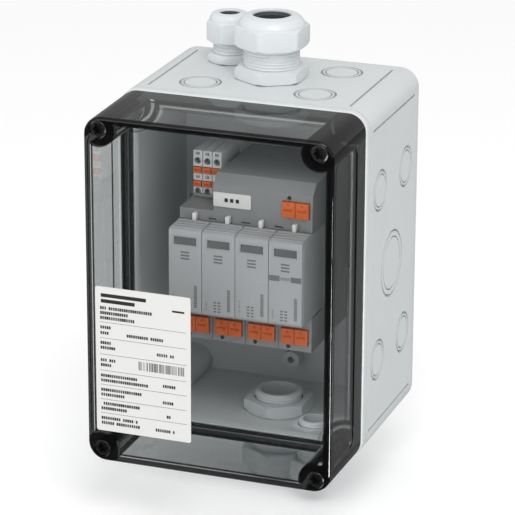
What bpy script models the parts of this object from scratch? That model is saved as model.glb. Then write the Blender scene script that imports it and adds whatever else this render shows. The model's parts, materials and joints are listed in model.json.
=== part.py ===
"""Wall-mounted combiner box: a grey base, a smoked clear lid, four cable glands, and a rail-mounted surge
protector with a three-way signal terminal inside.

Frame: the origin is the centre of the back face. +X is to the right of a viewer facing the lid, +Y goes into
the wall and +Z is up, so the lid's front face looks along -Y. Sizes are in metres.
"""

import math

import bmesh
import bpy
from mathutils import Matrix, Vector

MM = 0.001
GAP = 0.3 * MM  # left between pieces that touch

# Enclosure
BOX_WIDTH = 130 * MM
BOX_HEIGHT = 182 * MM
BOX_DEPTH = 135 * MM
LID_DEPTH = 48 * MM
WALL = 3 * MM
BASE_CORNER_R = 10 * MM
LID_INSET = 0.6 * MM  # the lid stands this far inside the base's outline
TOWER_FROM_SIDE = 8.5 * MM
TOWER_FROM_TOP = 7.4 * MM
TOWER_R = 8.8 * MM

# Rim and seal
RIM_HEIGHT = 5 * MM
RIM_WIDTH = 8 * MM
GROOVE_FROM_SIDE = 4.4 * MM
GROOVE_WIDTH = 2.8 * MM
GROOVE_DEPTH = 3.2 * MM
TONGUE_HEIGHT = 0.8 * MM

# Lid screws
SCREW_HEAD_R = 4.1 * MM
SCREW_HEAD_LENGTH = 7 * MM
SCREW_SHANK_R = 2.2 * MM
SCREW_REACH = 14 * MM  # how far the shank goes into the base's tower
SCREW_SINK = 1 * MM  # head below the lid's face
DRIVE_R = 2.9 * MM
DRIVE_DEPTH = 3.5 * MM
SHANK_CLEARANCE = 0.4 * MM

# Knock-outs and score lines
KNOCKOUT_ROW_SPREAD = 20.9 * MM  # of the two rows about the middle of the base's depth
KNOCKOUT_X = 30.3 * MM
KNOCKOUT_Z = 45 * MM
SMALL_KNOCKOUT_R = 10.2 * MM
LARGE_KNOCKOUT_R = 16.8 * MM
SCORE_DEPTH = 0.6 * MM
SCORE_FROM_CORNER = 12 * MM
SCORE_FROM_END = 9 * MM
GRIP_RECESS = 0.8 * MM
GRIP_FROM_END = 13 * MM
GRIP_FROM_FACE = 4 * MM
GRIP_FROM_SEAM = 11.5 * MM

# Wall fixing and bosses on the back wall
FIXING_FROM_SIDE = 19 * MM
FIXING_FROM_END = 13 * MM
FIXING_R = 2.4 * MM
BOSS_FROM_END = 17 * MM
BOSS_R = 4.7 * MM
BOSS_HEIGHT = 8 * MM
BOSS_HOLE_R = 1.8 * MM

# Mounting rail
RAIL_BEYOND_PROTECTOR = 16.5 * MM  # at each end
RAIL_WIDTH = 35 * MM
RAIL_HAT_WIDTH = 25 * MM
RAIL_DEPTH = 7.5 * MM
RAIL_SHEET = 1 * MM
RAIL_POST_HEIGHT = 13.5 * MM
RAIL_POST_R = 6 * MM
RAIL_SCREW_FROM_END = 8.5 * MM
RAIL_SCREW_R = 1.9 * MM
RAIL_SCREW_HEAD_R = 3.6 * MM

# Surge protector
POLES = 4
POLE_PITCH = 17.75 * MM
PROTECTOR_X = -1.3 * MM  # its middle
SHOULDER_FROM_RAIL = 53 * MM
PLUG_PROUD = 15.65 * MM
PLUG_HALF_HEIGHT = 22.3 * MM
PLUG_SIDE_GAP = 0.3 * MM
BAY_CLEARANCE = 0.6 * MM
BAY_DEPTH = 19 * MM
PROTECTOR_TOP = 47.5 * MM
PROTECTOR_BOTTOM = -41 * MM
SHOULDER_BEVEL = 5.5 * MM
NOTCH_WIDTH = 18.2 * MM
NOTCH_FLOOR = 28.5 * MM
BLADE_WIDTH = 9 * MM
BLADE_THICKNESS = 1.2 * MM
BLADE_LENGTH = 7 * MM
BLADE_Z = 12 * MM
BLADE_CLEARANCE = 0.5 * MM
WINDOW_HALF_WIDTH = 6 * MM
WINDOW_LOW = 14.1 * MM
WINDOW_HIGH = 18.3 * MM
WINDOW_SINK = 1.2 * MM
HOOK_GRIP = 2 * MM
HOOK_THICKNESS = 2.4 * MM
LATCH_HALF_WIDTH = 6 * MM
LATCH_THICKNESS = 3.6 * MM
LATCH_PROUD = 3.5 * MM

# Release levers: the protector's, and the signal terminals'
LEVER_WIDTH = 6.9 * MM
LEVER_HEIGHT = 8.2 * MM
LEVER_LENGTH = 5.6 * MM
LEVER_PROUD = 1.6 * MM
LEVER_TRAVEL = 1.5 * MM
LEVER_CLEARANCE = 0.35 * MM
LOWER_LEVER_Z = -33 * MM
UPPER_LEVER_Z = 34 * MM
TEST_HOLE_R = 1.1 * MM
TEST_HOLE_SIDE = 3.6 * MM
TEST_HOLE_FROM_LEVER = 5.9 * MM
PIN_HALF_WIDTH = 1 * MM
PIN_LOW = 23.4 * MM
PIN_HIGH = 26.9 * MM
PIN_PROUD = 3 * MM
PIN_LENGTH = 7 * MM
PIN_TRAVEL = 2 * MM

TERMINALS = 3
TERMINAL_PITCH = 5.2 * MM
TERMINAL_FROM_LEFT = 0.7 * MM
TERMINAL_BEHIND_SHOULDER = 17 * MM
TERMINAL_LENGTH = 27 * MM
TERMINAL_TOP = 53.7 * MM
CARRIER_THICKNESS = 1.8 * MM
TERMINAL_LEVER_HALF_WIDTH = 2.05 * MM
TERMINAL_LEVERS = ((41.8 * MM, 45.0 * MM), (34.6 * MM, 37.6 * MM))
TERMINAL_LEVER_LENGTH = 4.6 * MM
TERMINAL_LEVER_PROUD = 0.9 * MM
TERMINAL_LEVER_TRAVEL = 1 * MM
ENTRY_R = 1.6 * MM
ENTRY_FROM_LEVER = 3.1 * MM

# Tag and type label
TAG_WIDTH = 20 * MM
TAG_HEIGHT = 7.5 * MM
TAG_Z = 35.2 * MM
LABEL_WIDTH = 50.3 * MM
LABEL_HEIGHT = 76.5 * MM
LABEL_FROM_SIDE = 6.2 * MM
LABEL_FROM_END = 17.7 * MM
LABEL_THICKNESS = 0.4 * MM
TAG_THICKNESS = 0.9 * MM
STICKER_LIFT = 0.05 * MM

# Cable glands. Heights are measured out of the wall's outer face.
LARGE_GLAND = {
    "across_flats": 33 * MM, "flange": 8.3 * MM, "thread_r": 14.3 * MM, "thread_top": 22 * MM,
    "nut_low": 17 * MM, "nut_shoulder": 27.5 * MM, "nut_top": 33 * MM, "rim_r": 11.4 * MM, "hole_r": 9 * MM,
    "inner_r": 12.5 * MM, "bore_r": 9.6 * MM, "seat_r": 11.6 * MM, "seat_low": 11 * MM, "seal_r": 8 * MM,
    "seal_top": 29.5 * MM, "lock_flats": 32 * MM, "lock_height": 6.4 * MM, "tail": 4.2 * MM,
}
SMALL_GLAND = {
    "across_flats": 20 * MM, "flange": 5.5 * MM, "thread_r": 8.6 * MM, "thread_top": 15 * MM,
    "nut_low": 10.8 * MM, "nut_shoulder": 21.5 * MM, "nut_top": 26 * MM, "rim_r": 6.8 * MM, "hole_r": 4.9 * MM,
    "inner_r": 8 * MM, "bore_r": 5.5 * MM, "seat_r": 6.8 * MM, "seat_low": 7.5 * MM, "seal_r": 4.2 * MM,
    "seal_top": 23 * MM, "lock_flats": 20 * MM, "lock_height": 5 * MM, "tail": 2.6 * MM,
}
BOTTOM_LARGE_X = 5 * MM
BOTTOM_SMALL_X = 33 * MM
BOTTOM_SMALL_FROM_SEAM = 18.5 * MM  # clears the rim's posts

HOLE_SPARE = 2 * MM  # that a blind hole goes beyond its screw
RAIL_HOLE_DEPTH = 10 * MM
BOSS_HOLE_DEPTH = 6 * MM
ENTRY_DEPTH = 8 * MM
TONGUE_INSET = 0.5 * MM  # of the lid's tongue in the groove
STEM_OVERLAP = 2 * MM  # of a gland's stem in its flange
NUT_OVER_BODY = 1 * MM  # that a dome nut is wider than its body
NUT_CORNER_SHARE = 0.985  # of the hexagon's corners left by turning
SEAL_TAPER = 4 * MM
SEAL_EDGE_GAP = 0.2 * MM
RAIL_HEAD_HEIGHT = 2.2 * MM
RAIL_SHANK_LENGTH = 9 * MM
OVERLAP = 1 * MM  # of solids that are joined
TERMINAL_BEVEL = 6 * MM
LOWER_ENTRY_GAP = 1 * MM
POCKET_SPARE = 1 * MM  # behind a lever or a blade at the end of its travel

ROUND = 24  # sides of a turned piece
ARC = 5  # points in a quarter turn of an outline

# Places that follow from the sizes
HALF_W = BOX_WIDTH / 2
HALF_H = BOX_HEIGHT / 2
FRONT_Y = -BOX_DEPTH
SEAM_Y = FRONT_Y + LID_DEPTH
BASE_MIDDLE_Y = SEAM_Y / 2
FIXING_X = HALF_W - FIXING_FROM_SIDE
FIXING_Z = HALF_H - FIXING_FROM_END
BOSS_Z = HALF_H - BOSS_FROM_END
TOWER_X = HALF_W - TOWER_FROM_SIDE
TOWER_Z = HALF_H - TOWER_FROM_TOP
SHANK_HOLE_R = SCREW_SHANK_R + SHANK_CLEARANCE
RAIL_BACK_Y = -WALL - RAIL_POST_HEIGHT - GAP
RAIL_FRONT_Y = RAIL_BACK_Y - RAIL_DEPTH
SHOULDER_Y = RAIL_FRONT_Y - SHOULDER_FROM_RAIL
PLUG_FRONT_Y = SHOULDER_Y - PLUG_PROUD
BAY_FLOOR_Y = SHOULDER_Y + BAY_DEPTH
BAY_HALF = PLUG_HALF_HEIGHT + BAY_CLEARANCE
PROTECTOR_WIDTH = POLES * POLE_PITCH
RAIL_LENGTH = PROTECTOR_WIDTH + 2 * RAIL_BEYOND_PROTECTOR
RAIL_SCREW_X = RAIL_LENGTH / 2 - RAIL_SCREW_FROM_END
PROTECTOR_LEFT = PROTECTOR_X - PROTECTOR_WIDTH / 2
NOTCH_RIGHT = PROTECTOR_LEFT + NOTCH_WIDTH
POLE_X = [PROTECTOR_LEFT + (i + 0.5) * POLE_PITCH for i in range(POLES)]
TERMINAL_FRONT_Y = SHOULDER_Y + TERMINAL_BEHIND_SHOULDER
TERMINAL_FOOT = NOTCH_FLOOR + GAP + CARRIER_THICKNESS + GAP
TERMINAL_X = [PROTECTOR_LEFT + TERMINAL_FROM_LEFT + (i + 0.5) * TERMINAL_PITCH for i in range(TERMINALS)]
LEVER_SPOTS = [(f"lower_{i + 1}", x, LOWER_LEVER_Z) for i, x in enumerate(POLE_X)]
LEVER_SPOTS.append(("upper", POLE_X[-1], UPPER_LEVER_Z))


# ---------------------------------------------------------------- helpers


def collection(name):
    made = bpy.data.collections.new(name)
    bpy.context.scene.collection.children.link(made)
    return made


def material(name, colour, roughness, metallic=0.0, alpha=1.0):
    made = bpy.data.materials.new(name)
    made.use_nodes = True
    shader = made.node_tree.nodes["Principled BSDF"]
    shader.inputs["Base Color"].default_value = (*colour, 1.0)
    shader.inputs["Roughness"].default_value = roughness
    shader.inputs["Metallic"].default_value = metallic
    shader.inputs["Alpha"].default_value = alpha
    return made


def mesh_from_bmesh(bm, name):
    bmesh.ops.recalc_face_normals(bm, faces=bm.faces)
    mesh = bpy.data.meshes.new(name)
    bm.to_mesh(mesh)
    bm.free()
    return mesh


def linked(name, mesh, into, finish=None):
    obj = bpy.data.objects.new(name, mesh)
    into.objects.link(obj)
    if finish and not mesh.materials:
        mesh.materials.append(finish)
    return obj


def cutter(name, mesh):
    obj = linked(name, mesh, CUTTERS)
    obj.hide_render = True
    obj.display_type = "WIRE"
    return obj


def add_box(bm, low, high):
    """Adds a box between two corners."""
    size = [b - a for a, b in zip(low, high)]
    middle = [(a + b) / 2 for a, b in zip(low, high)]
    place = Matrix.Translation(middle) @ Matrix.Diagonal((*size, 1))
    bmesh.ops.create_cube(bm, size=1, matrix=place)


def add_rod(bm, start, end, radius, sides=ROUND, end_radius=None, turn=0.0):
    """Adds a cylinder or cone from start to end."""
    start, end = Vector(start), Vector(end)
    along = end - start
    place = Matrix.Translation((start + end) / 2) @ along.to_track_quat("Z", "Y").to_matrix().to_4x4()
    bmesh.ops.create_cone(
        bm, cap_ends=True, segments=sides, radius1=radius, radius2=end_radius or radius,
        depth=along.length, matrix=place @ Matrix.Rotation(turn, 4, "Z"),
    )


def hexagon_rod(bm, low, high, across_flats):
    add_rod(bm, (0, 0, low), (0, 0, high), across_flats / math.sqrt(3), sides=6)


def boxes(name, corners):
    bm = bmesh.new()
    for low, high in corners:
        add_box(bm, low, high)
    return mesh_from_bmesh(bm, name)


def evaluated_mesh(obj):
    """The object's mesh with its modifiers applied."""
    bpy.context.view_layer.update()
    return bpy.data.meshes.new_from_object(obj.evaluated_get(bpy.context.evaluated_depsgraph_get()))


def baked(obj):
    """Applies the object's modifiers, removes it, and returns the mesh for its copies to share."""
    mesh = evaluated_mesh(obj)
    bpy.data.objects.remove(obj)
    return mesh


def outline_mesh(name, points, thickness, turn):
    """A flat plate from a 2D outline, centred on its plane, then turned."""
    curve = bpy.data.curves.new(name, "CURVE")
    curve.dimensions = "2D"
    curve.fill_mode = "BOTH"
    curve.extrude = thickness / 2
    spline = curve.splines.new("POLY")
    spline.points.add(len(points) - 1)
    for point, (u, v) in zip(spline.points, points):
        point.co = (u, v, 0, 1)
    spline.use_cyclic_u = True
    obj = linked(name, curve, CUTTERS)
    mesh = baked(obj)
    bpy.data.curves.remove(curve)
    bm = bmesh.new()
    bm.from_mesh(mesh)
    bmesh.ops.remove_doubles(bm, verts=bm.verts, dist=1e-6)
    bmesh.ops.transform(bm, matrix=turn, verts=bm.verts)
    return mesh_from_bmesh(bm, name)


def front_plate(name, points, low_y, high_y):
    """A plate whose outline is in X and Z, between two values of Y."""
    turn = Matrix.Translation((0, (low_y + high_y) / 2, 0)) @ Matrix.Rotation(math.pi / 2, 4, "X")
    return outline_mesh(name, points, high_y - low_y, turn)


def side_plate(name, points, low_x, high_x):
    """A plate whose outline is in Y and Z, between two values of X."""
    turn = Matrix(((0, 0, 1, (low_x + high_x) / 2), (1, 0, 0, 0), (0, 1, 0, 0), (0, 0, 0, 1)))
    return outline_mesh(name, points, high_x - low_x, turn)


def turned(name, profile):
    """A solid of revolution about Z: profile runs down its outer side, from the axis at the top to the axis."""
    mesh = bpy.data.meshes.new(name)
    mesh.from_pydata([(r, 0, z) for r, z in profile], [(i, i + 1) for i in range(len(profile) - 1)], [])
    obj = linked(name, mesh, CUTTERS)
    screw = obj.modifiers.new("turn", "SCREW")
    screw.steps = ROUND
    screw.render_steps = ROUND
    screw.use_merge_vertices = True
    screw.merge_threshold = 1e-6
    return baked(obj)


def combine(obj, operation, mesh, name):
    modifier = obj.modifiers.new(name, "BOOLEAN")
    modifier.operation = operation
    modifier.object = cutter(name, mesh)
    return obj


def origin_at(obj, point):
    """Moves the object's origin to a point and leaves its shape where it is."""
    obj.data.transform(Matrix.Translation(-Vector(point)))
    obj.location = point
    return obj


def rounded_rectangle(half_w, half_h, radius):
    points = []
    for sx, sz, start in ((1, 1, 0), (-1, 1, 90), (-1, -1, 180), (1, -1, 270)):
        for i in range(ARC + 1):
            a = math.radians(start + 90 * i / ARC)
            x = sx * (half_w - radius) + radius * math.cos(a)
            z = sz * (half_h - radius) + radius * math.sin(a)
            points.append((x, z))
    return points


def notched_rectangle(from_side, tower_r):
    """A rectangle that far inside the box's outline, whose corners bend inwards round the screw towers."""
    half_w, half_h = HALF_W - from_side, HALF_H - from_side
    side_z = TOWER_Z - math.sqrt(tower_r**2 - (half_w - TOWER_X) ** 2)
    top_x = TOWER_X - math.sqrt(tower_r**2 - (half_h - TOWER_Z) ** 2)
    first = math.atan2(side_z - TOWER_Z, half_w - TOWER_X)
    last = math.atan2(half_h - TOWER_Z, top_x - TOWER_X) % (2 * math.pi) - 2 * math.pi
    corner = []
    for i in range(2 * ARC + 1):
        a = first + (last - first) * i / (2 * ARC)
        corner.append((TOWER_X + tower_r * math.cos(a), TOWER_Z + tower_r * math.sin(a)))
    points = list(corner)
    points += [(-x, z) for x, z in reversed(corner)]
    points += [(-x, -z) for x, z in corner]
    points += [(x, -z) for x, z in reversed(corner)]
    return points


def ring(name, outer, inner, low_y, high_y):
    """A closed band between two outlines."""
    obj = linked(name, front_plate(name, outer, low_y, high_y), CUTTERS)
    combine(obj, "DIFFERENCE", front_plate(name, inner, low_y - GAP, high_y + GAP), name + "_inside")
    return baked(obj)


def corners():
    return [(sx * TOWER_X, sz * TOWER_Z) for sz in (1, -1) for sx in (-1, 1)]


# ---------------------------------------------------------------- enclosure


def groove_outlines(play):
    """The seal groove's outer and inner outlines, drawn in by a play on each side."""
    outer = notched_rectangle(GROOVE_FROM_SIDE + play, TOWER_R + GROOVE_FROM_SIDE - WALL + play)
    inner_side = GROOVE_FROM_SIDE + GROOVE_WIDTH - play
    return outer, notched_rectangle(inner_side, TOWER_R + inner_side - WALL)


def knockouts():
    """(centre on the outer face, outward direction, radius) of every knock-out that is still closed."""
    rows = (BASE_MIDDLE_Y - KNOCKOUT_ROW_SPREAD, BASE_MIDDLE_Y + KNOCKOUT_ROW_SPREAD)
    found = []
    for side in (-1, 1):
        face = side * HALF_W
        found.append(((face, BASE_MIDDLE_Y, 0), (side, 0, 0), LARGE_KNOCKOUT_R))
        for y in rows:
            for z in (-KNOCKOUT_Z, KNOCKOUT_Z):
                found.append(((face, y, z), (side, 0, 0), SMALL_KNOCKOUT_R))
    for x, y in ((-KNOCKOUT_X, rows[0]), (KNOCKOUT_X, rows[0]), (KNOCKOUT_X, rows[1])):
        found.append(((x, y, HALF_H), (0, 0, 1), SMALL_KNOCKOUT_R))
    for x, y in ((-KNOCKOUT_X, rows[0]), (-KNOCKOUT_X, rows[1]), (KNOCKOUT_X, rows[1])):
        found.append(((x, y, -HALF_H), (0, 0, -1), SMALL_KNOCKOUT_R))
    return found


def add_score_ring(bm, centre, out, radius):
    """Adds a ring with a square section, set on its corner, that leaves a V groove in the wall."""
    place = Matrix.Translation(centre) @ Vector(out).to_track_quat("Z", "Y").to_matrix().to_4x4()
    sides = ROUND - 4
    loops = []
    for dr, dz in ((SCORE_DEPTH, 0), (0, SCORE_DEPTH), (-SCORE_DEPTH, 0), (0, -SCORE_DEPTH)):
        loop = []
        for i in range(sides):
            a = 2 * math.pi * i / sides
            r = radius + dr
            loop.append(bm.verts.new(place @ Vector((r * math.cos(a), r * math.sin(a), dz))))
        loops.append(loop)
    for k in range(4):
        for i in range(sides):
            j = (i + 1) % sides
            bm.faces.new((loops[k][i], loops[k][j], loops[(k + 1) % 4][j], loops[(k + 1) % 4][i]))


def score_lines(bm):
    """Thin grooves that frame the knock-outs, along the base's four rounded edges."""
    half = SCORE_DEPTH
    y0, y1 = SEAM_Y + SCORE_FROM_END, -SCORE_FROM_END
    for sx in (-1, 1):
        for sz in (-1, 1):
            x, z = sx * (HALF_W - SCORE_FROM_CORNER), sz * (HALF_H - SCORE_FROM_CORNER)
            add_box(bm, (x - half, y0, sz * HALF_H - half), (x + half, y1, sz * HALF_H + half))
            add_box(bm, (sx * HALF_W - half, y0, z - half), (sx * HALF_W + half, y1, z + half))


def gland_places():
    """(name, sizes, x, y, direction) of the four glands."""
    return (
        ("top_large", LARGE_GLAND, 0.0, BASE_MIDDLE_Y, 1),
        ("top_small", SMALL_GLAND, -KNOCKOUT_X, BASE_MIDDLE_Y + KNOCKOUT_ROW_SPREAD, 1),
        ("bottom_large", LARGE_GLAND, BOTTOM_LARGE_X, BASE_MIDDLE_Y, -1),
        ("bottom_small", SMALL_GLAND, BOTTOM_SMALL_X, SEAM_Y + BOTTOM_SMALL_FROM_SEAM, -1),
    )


def base_shell():
    outer = rounded_rectangle(HALF_W, HALF_H, BASE_CORNER_R)
    obj = linked("base_shell", front_plate("base_shell", outer, SEAM_Y, 0), PARTS, GREY_PLASTIC)
    mouth = notched_rectangle(RIM_WIDTH, TOWER_R + RIM_WIDTH - WALL)
    mouth_shape = front_plate("mouth", mouth, SEAM_Y - WALL, SEAM_Y + RIM_HEIGHT + GAP)
    combine(obj, "DIFFERENCE", mouth_shape, "base_mouth")
    cavity = notched_rectangle(WALL, TOWER_R)
    combine(obj, "DIFFERENCE", front_plate("cavity", cavity, SEAM_Y + RIM_HEIGHT, -WALL), "base_cavity")
    groove = ring("groove", *groove_outlines(0), SEAM_Y - WALL, SEAM_Y + GROOVE_DEPTH)
    combine(obj, "DIFFERENCE", groove, "base_groove")

    posts = bmesh.new()
    for side in (-1, 1):
        x = side * RAIL_SCREW_X
        add_rod(posts, (x, -WALL / 2, 0), (x, -WALL - RAIL_POST_HEIGHT, 0), RAIL_POST_R, 16)
        add_rod(posts, (0, -WALL / 2, side * BOSS_Z), (0, -WALL - BOSS_HEIGHT, side * BOSS_Z), BOSS_R, 16)
    combine(obj, "UNION", mesh_from_bmesh(posts, "posts"), "base_posts")

    cuts = bmesh.new()
    for x, z in corners():
        add_rod(cuts, (x, SEAM_Y - WALL, z), (x, SEAM_Y + SCREW_REACH + HOLE_SPARE, z), SHANK_HOLE_R, 12)
    for sx in (-1, 1):
        for sz in (-1, 1):
            x, z = sx * FIXING_X, sz * FIXING_Z
            add_rod(cuts, (x, -2 * WALL, z), (x, WALL, z), FIXING_R, 12)
    for side in (-1, 1):
        top_y = -WALL - RAIL_POST_HEIGHT
        x = side * RAIL_SCREW_X
        add_rod(cuts, (x, top_y - WALL, 0), (x, top_y + RAIL_HOLE_DEPTH, 0), RAIL_SCREW_R + GAP, 12)
        boss_y = -WALL - BOSS_HEIGHT
        z = side * BOSS_Z
        add_rod(cuts, (0, boss_y - WALL, z), (0, boss_y + BOSS_HOLE_DEPTH, z), BOSS_HOLE_R, 12)
    for _, size, x, y, way in gland_places():
        z = way * HALF_H
        add_rod(cuts, (x, y, z - way * 2 * WALL), (x, y, z + way * WALL), size["inner_r"] + GAP)
    for centre, out, radius in knockouts():
        add_score_ring(cuts, centre, out, radius)
    score_lines(cuts)
    combine(obj, "DIFFERENCE", mesh_from_bmesh(cuts, "cuts"), "base_cuts")
    return obj


def lid_shell():
    back = SEAM_Y - GAP
    outer = rounded_rectangle(HALF_W - LID_INSET, HALF_H - LID_INSET, BASE_CORNER_R - LID_INSET)
    obj = linked("lid_shell", front_plate("lid_shell", outer, FRONT_Y, back), PARTS, SMOKED_PLASTIC)
    cavity = notched_rectangle(WALL + LID_INSET, TOWER_R)
    combine(obj, "DIFFERENCE", front_plate("cavity", cavity, FRONT_Y + WALL, back - RIM_HEIGHT), "lid_cavity")
    mouth = notched_rectangle(RIM_WIDTH, TOWER_R + RIM_WIDTH - WALL)
    combine(obj, "DIFFERENCE", front_plate("mouth", mouth, back - RIM_HEIGHT - GAP, back + WALL), "lid_mouth")
    seats, holes = bmesh.new(), bmesh.new()
    seat_end = FRONT_Y + SCREW_SINK + SCREW_HEAD_LENGTH + GAP
    for x, z in corners():
        add_rod(seats, (x, FRONT_Y - WALL, z), (x, seat_end, z), SCREW_HEAD_R + SHANK_CLEARANCE)
        add_rod(holes, (x, FRONT_Y - WALL, z), (x, back + WALL, z), SHANK_HOLE_R, 12)
    for side in (-1, 1):
        face = side * (HALF_W - LID_INSET)
        half_z = HALF_H - GRIP_FROM_END
        front_low = (face - GRIP_RECESS, FRONT_Y + GRIP_FROM_FACE, -half_z)
        add_box(seats, front_low, (face + GRIP_RECESS, back - GRIP_FROM_SEAM, half_z))
    combine(obj, "DIFFERENCE", mesh_from_bmesh(holes, "holes"), "lid_holes")
    combine(obj, "DIFFERENCE", mesh_from_bmesh(seats, "seats"), "lid_seats")
    tongue = ring("tongue", *groove_outlines(TONGUE_INSET), back - WALL / 2, back + TONGUE_HEIGHT)
    combine(obj, "UNION", tongue, "lid_tongue")
    return obj


def lid_gasket():
    low = SEAM_Y + TONGUE_HEIGHT
    mesh = ring("lid_gasket", *groove_outlines(GAP), low, SEAM_Y + GROOVE_DEPTH - GAP)
    return linked("lid_gasket", mesh, PARTS, DARK_RUBBER)


def lid_screws():
    """Captive screws. Each origin is on the screw's axis, at the lid's face."""
    head_y = SCREW_SINK
    bm = bmesh.new()
    add_rod(bm, (0, head_y, 0), (0, head_y + SCREW_HEAD_LENGTH, 0), SCREW_HEAD_R)
    obj = linked("screw_shape", mesh_from_bmesh(bm, "lid_screw"), CUTTERS, DARK_PLASTIC)
    shank = bmesh.new()
    add_rod(shank, (0, head_y + SCREW_HEAD_LENGTH / 2, 0), (0, LID_DEPTH + SCREW_REACH, 0), SCREW_SHANK_R, 12)
    combine(obj, "UNION", mesh_from_bmesh(shank, "shank"), "screw_shank")
    drive = bmesh.new()
    add_rod(drive, (0, 0, 0), (0, head_y + DRIVE_DEPTH, 0), DRIVE_R, 12)
    combine(obj, "DIFFERENCE", mesh_from_bmesh(drive, "drive"), "screw_drive")
    mesh = baked(obj)
    for i, (x, z) in enumerate(corners()):
        screw = linked(f"lid_screw_{i + 1}", mesh, PARTS, DARK_PLASTIC)
        screw.location = (x, FRONT_Y, z)


def type_label():
    mesh = boxes("type_label", [((0, 0, 0), (LABEL_WIDTH, LABEL_THICKNESS, LABEL_HEIGHT))])
    label = linked("type_label", mesh, PARTS, WHITE_LABEL)
    y = FRONT_Y - LABEL_THICKNESS - STICKER_LIFT
    label.location = (-HALF_W + LABEL_FROM_SIDE, y, -HALF_H + LABEL_FROM_END)


# ---------------------------------------------------------------- cable glands


def gland_meshes(kind, size):
    """The body, dome nut, seal and lock nut of one size of gland, with z = 0 at the wall's outer face."""
    lock_low = -WALL - GAP - size["lock_height"]
    body_low = lock_low - size["tail"]

    bm = bmesh.new()
    hexagon_rod(bm, GAP, size["flange"], size["across_flats"])
    body = linked("body", mesh_from_bmesh(bm, kind + "_body"), CUTTERS, LIGHT_NYLON)
    stem = turned("stem", [
        (0, size["thread_top"]), (size["thread_r"], size["thread_top"]),
        (size["thread_r"], size["flange"] - STEM_OVERLAP),
        (size["inner_r"], size["flange"] - STEM_OVERLAP), (size["inner_r"], body_low), (0, body_low),
    ])
    combine(body, "UNION", stem, kind + "_stem")
    bore = turned("bore", [
        (0, size["thread_top"] + WALL), (size["seat_r"], size["thread_top"] + WALL),
        (size["seat_r"], size["seat_low"]),
        (size["bore_r"], size["seat_low"]), (size["bore_r"], body_low - WALL), (0, body_low - WALL),
    ])
    combine(body, "DIFFERENCE", bore, kind + "_bore")

    bm = bmesh.new()
    hexagon_rod(bm, size["nut_low"], size["nut_top"], size["across_flats"] + NUT_OVER_BODY)
    nut = linked("nut", mesh_from_bmesh(bm, kind + "_nut"), CUTTERS, LIGHT_NYLON)
    corner_r = (size["across_flats"] + NUT_OVER_BODY) / math.sqrt(3) * NUT_CORNER_SHARE
    dome = [(0, size["nut_top"])]
    for i in range(ARC):
        a = math.radians(90 * i / (ARC - 1))
        dome.append((
            size["rim_r"] + (corner_r - size["rim_r"]) * math.sin(a),
            size["nut_shoulder"] + (size["nut_top"] - size["nut_shoulder"]) * math.cos(a),
        ))
    dome += [(corner_r, size["nut_low"] - WALL), (0, size["nut_low"] - WALL)]
    combine(nut, "INTERSECT", turned("dome", dome), kind + "_dome")
    inside_r = size["thread_r"] + SHANK_CLEARANCE
    room = turned("room", [
        (0, size["nut_top"] + WALL), (size["hole_r"], size["nut_top"] + WALL),
        (size["hole_r"], size["seal_top"] + GAP), (inside_r, size["seal_top"] + GAP - SEAL_TAPER),
        (inside_r, size["nut_low"] - WALL), (0, size["nut_low"] - WALL),
    ])
    combine(nut, "DIFFERENCE", room, kind + "_room")

    outer_r = size["seat_r"] - GAP
    seal = linked("seal", turned(kind + "_seal", [
        (0, size["seal_top"]), (size["hole_r"] - SEAL_EDGE_GAP, size["seal_top"]),
        (outer_r, size["seal_top"] - SEAL_TAPER),
        (outer_r, size["seat_low"] + GAP), (0, size["seat_low"] + GAP),
    ]), CUTTERS, DARK_RUBBER)
    hole = bmesh.new()
    add_rod(hole, (0, 0, size["seat_low"] - WALL), (0, 0, size["seal_top"] + WALL), size["seal_r"])
    combine(seal, "DIFFERENCE", mesh_from_bmesh(hole, "hole"), kind + "_seal_hole")

    bm = bmesh.new()
    hexagon_rod(bm, lock_low, -WALL - GAP, size["lock_flats"])
    lock = linked("lock", mesh_from_bmesh(bm, kind + "_lock"), CUTTERS, LIGHT_NYLON)
    hole = bmesh.new()
    add_rod(hole, (0, 0, lock_low - WALL), (0, 0, 0), size["inner_r"] + GAP)
    combine(lock, "DIFFERENCE", mesh_from_bmesh(hole, "hole"), kind + "_lock_hole")
    return {
        "body": baked(body), "dome_nut": baked(nut), "seal": baked(seal), "lock_nut": baked(lock),
    }


def glands():
    sizes = (("large", LARGE_GLAND), ("small", SMALL_GLAND))
    made = {id(size): gland_meshes(kind, size) for kind, size in sizes}
    for place, size, x, y, way in gland_places():
        for piece, mesh in made[id(size)].items():
            finish = DARK_RUBBER if piece == "seal" else LIGHT_NYLON
            obj = linked(f"gland_{place}_{piece}", mesh, PARTS, finish)
            obj.location = (x, y, way * HALF_H)
            if way < 0:
                obj.rotation_euler = (math.pi, 0, 0)


# ---------------------------------------------------------------- rail and surge protector


def din_rail():
    """A top-hat section: the flanges face the lid and the hat's crown rests on the base's posts."""
    half, hat, sheet = RAIL_WIDTH / 2, RAIL_HAT_WIDTH / 2, RAIL_SHEET
    front, back = RAIL_FRONT_Y, RAIL_BACK_Y
    upper = [
        (front, half), (front + sheet, half), (front + sheet, hat + sheet), (back, hat + sheet),
    ]
    inner = [(back - sheet, hat), (front, hat)]
    points = upper + [(y, -z) for y, z in reversed(upper)]
    points += [(y, -z) for y, z in reversed(inner)] + inner
    rail = side_plate("din_rail", points, -RAIL_LENGTH / 2, RAIL_LENGTH / 2)
    obj = linked("din_rail", rail, PARTS, ZINC_STEEL)
    cuts = bmesh.new()
    for side in (-1, 1):
        x = side * RAIL_SCREW_X
        add_rod(cuts, (x, back - WALL, 0), (x, back + WALL, 0), RAIL_SCREW_R + GAP, 12)
    combine(obj, "DIFFERENCE", mesh_from_bmesh(cuts, "cuts"), "rail_holes")


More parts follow.
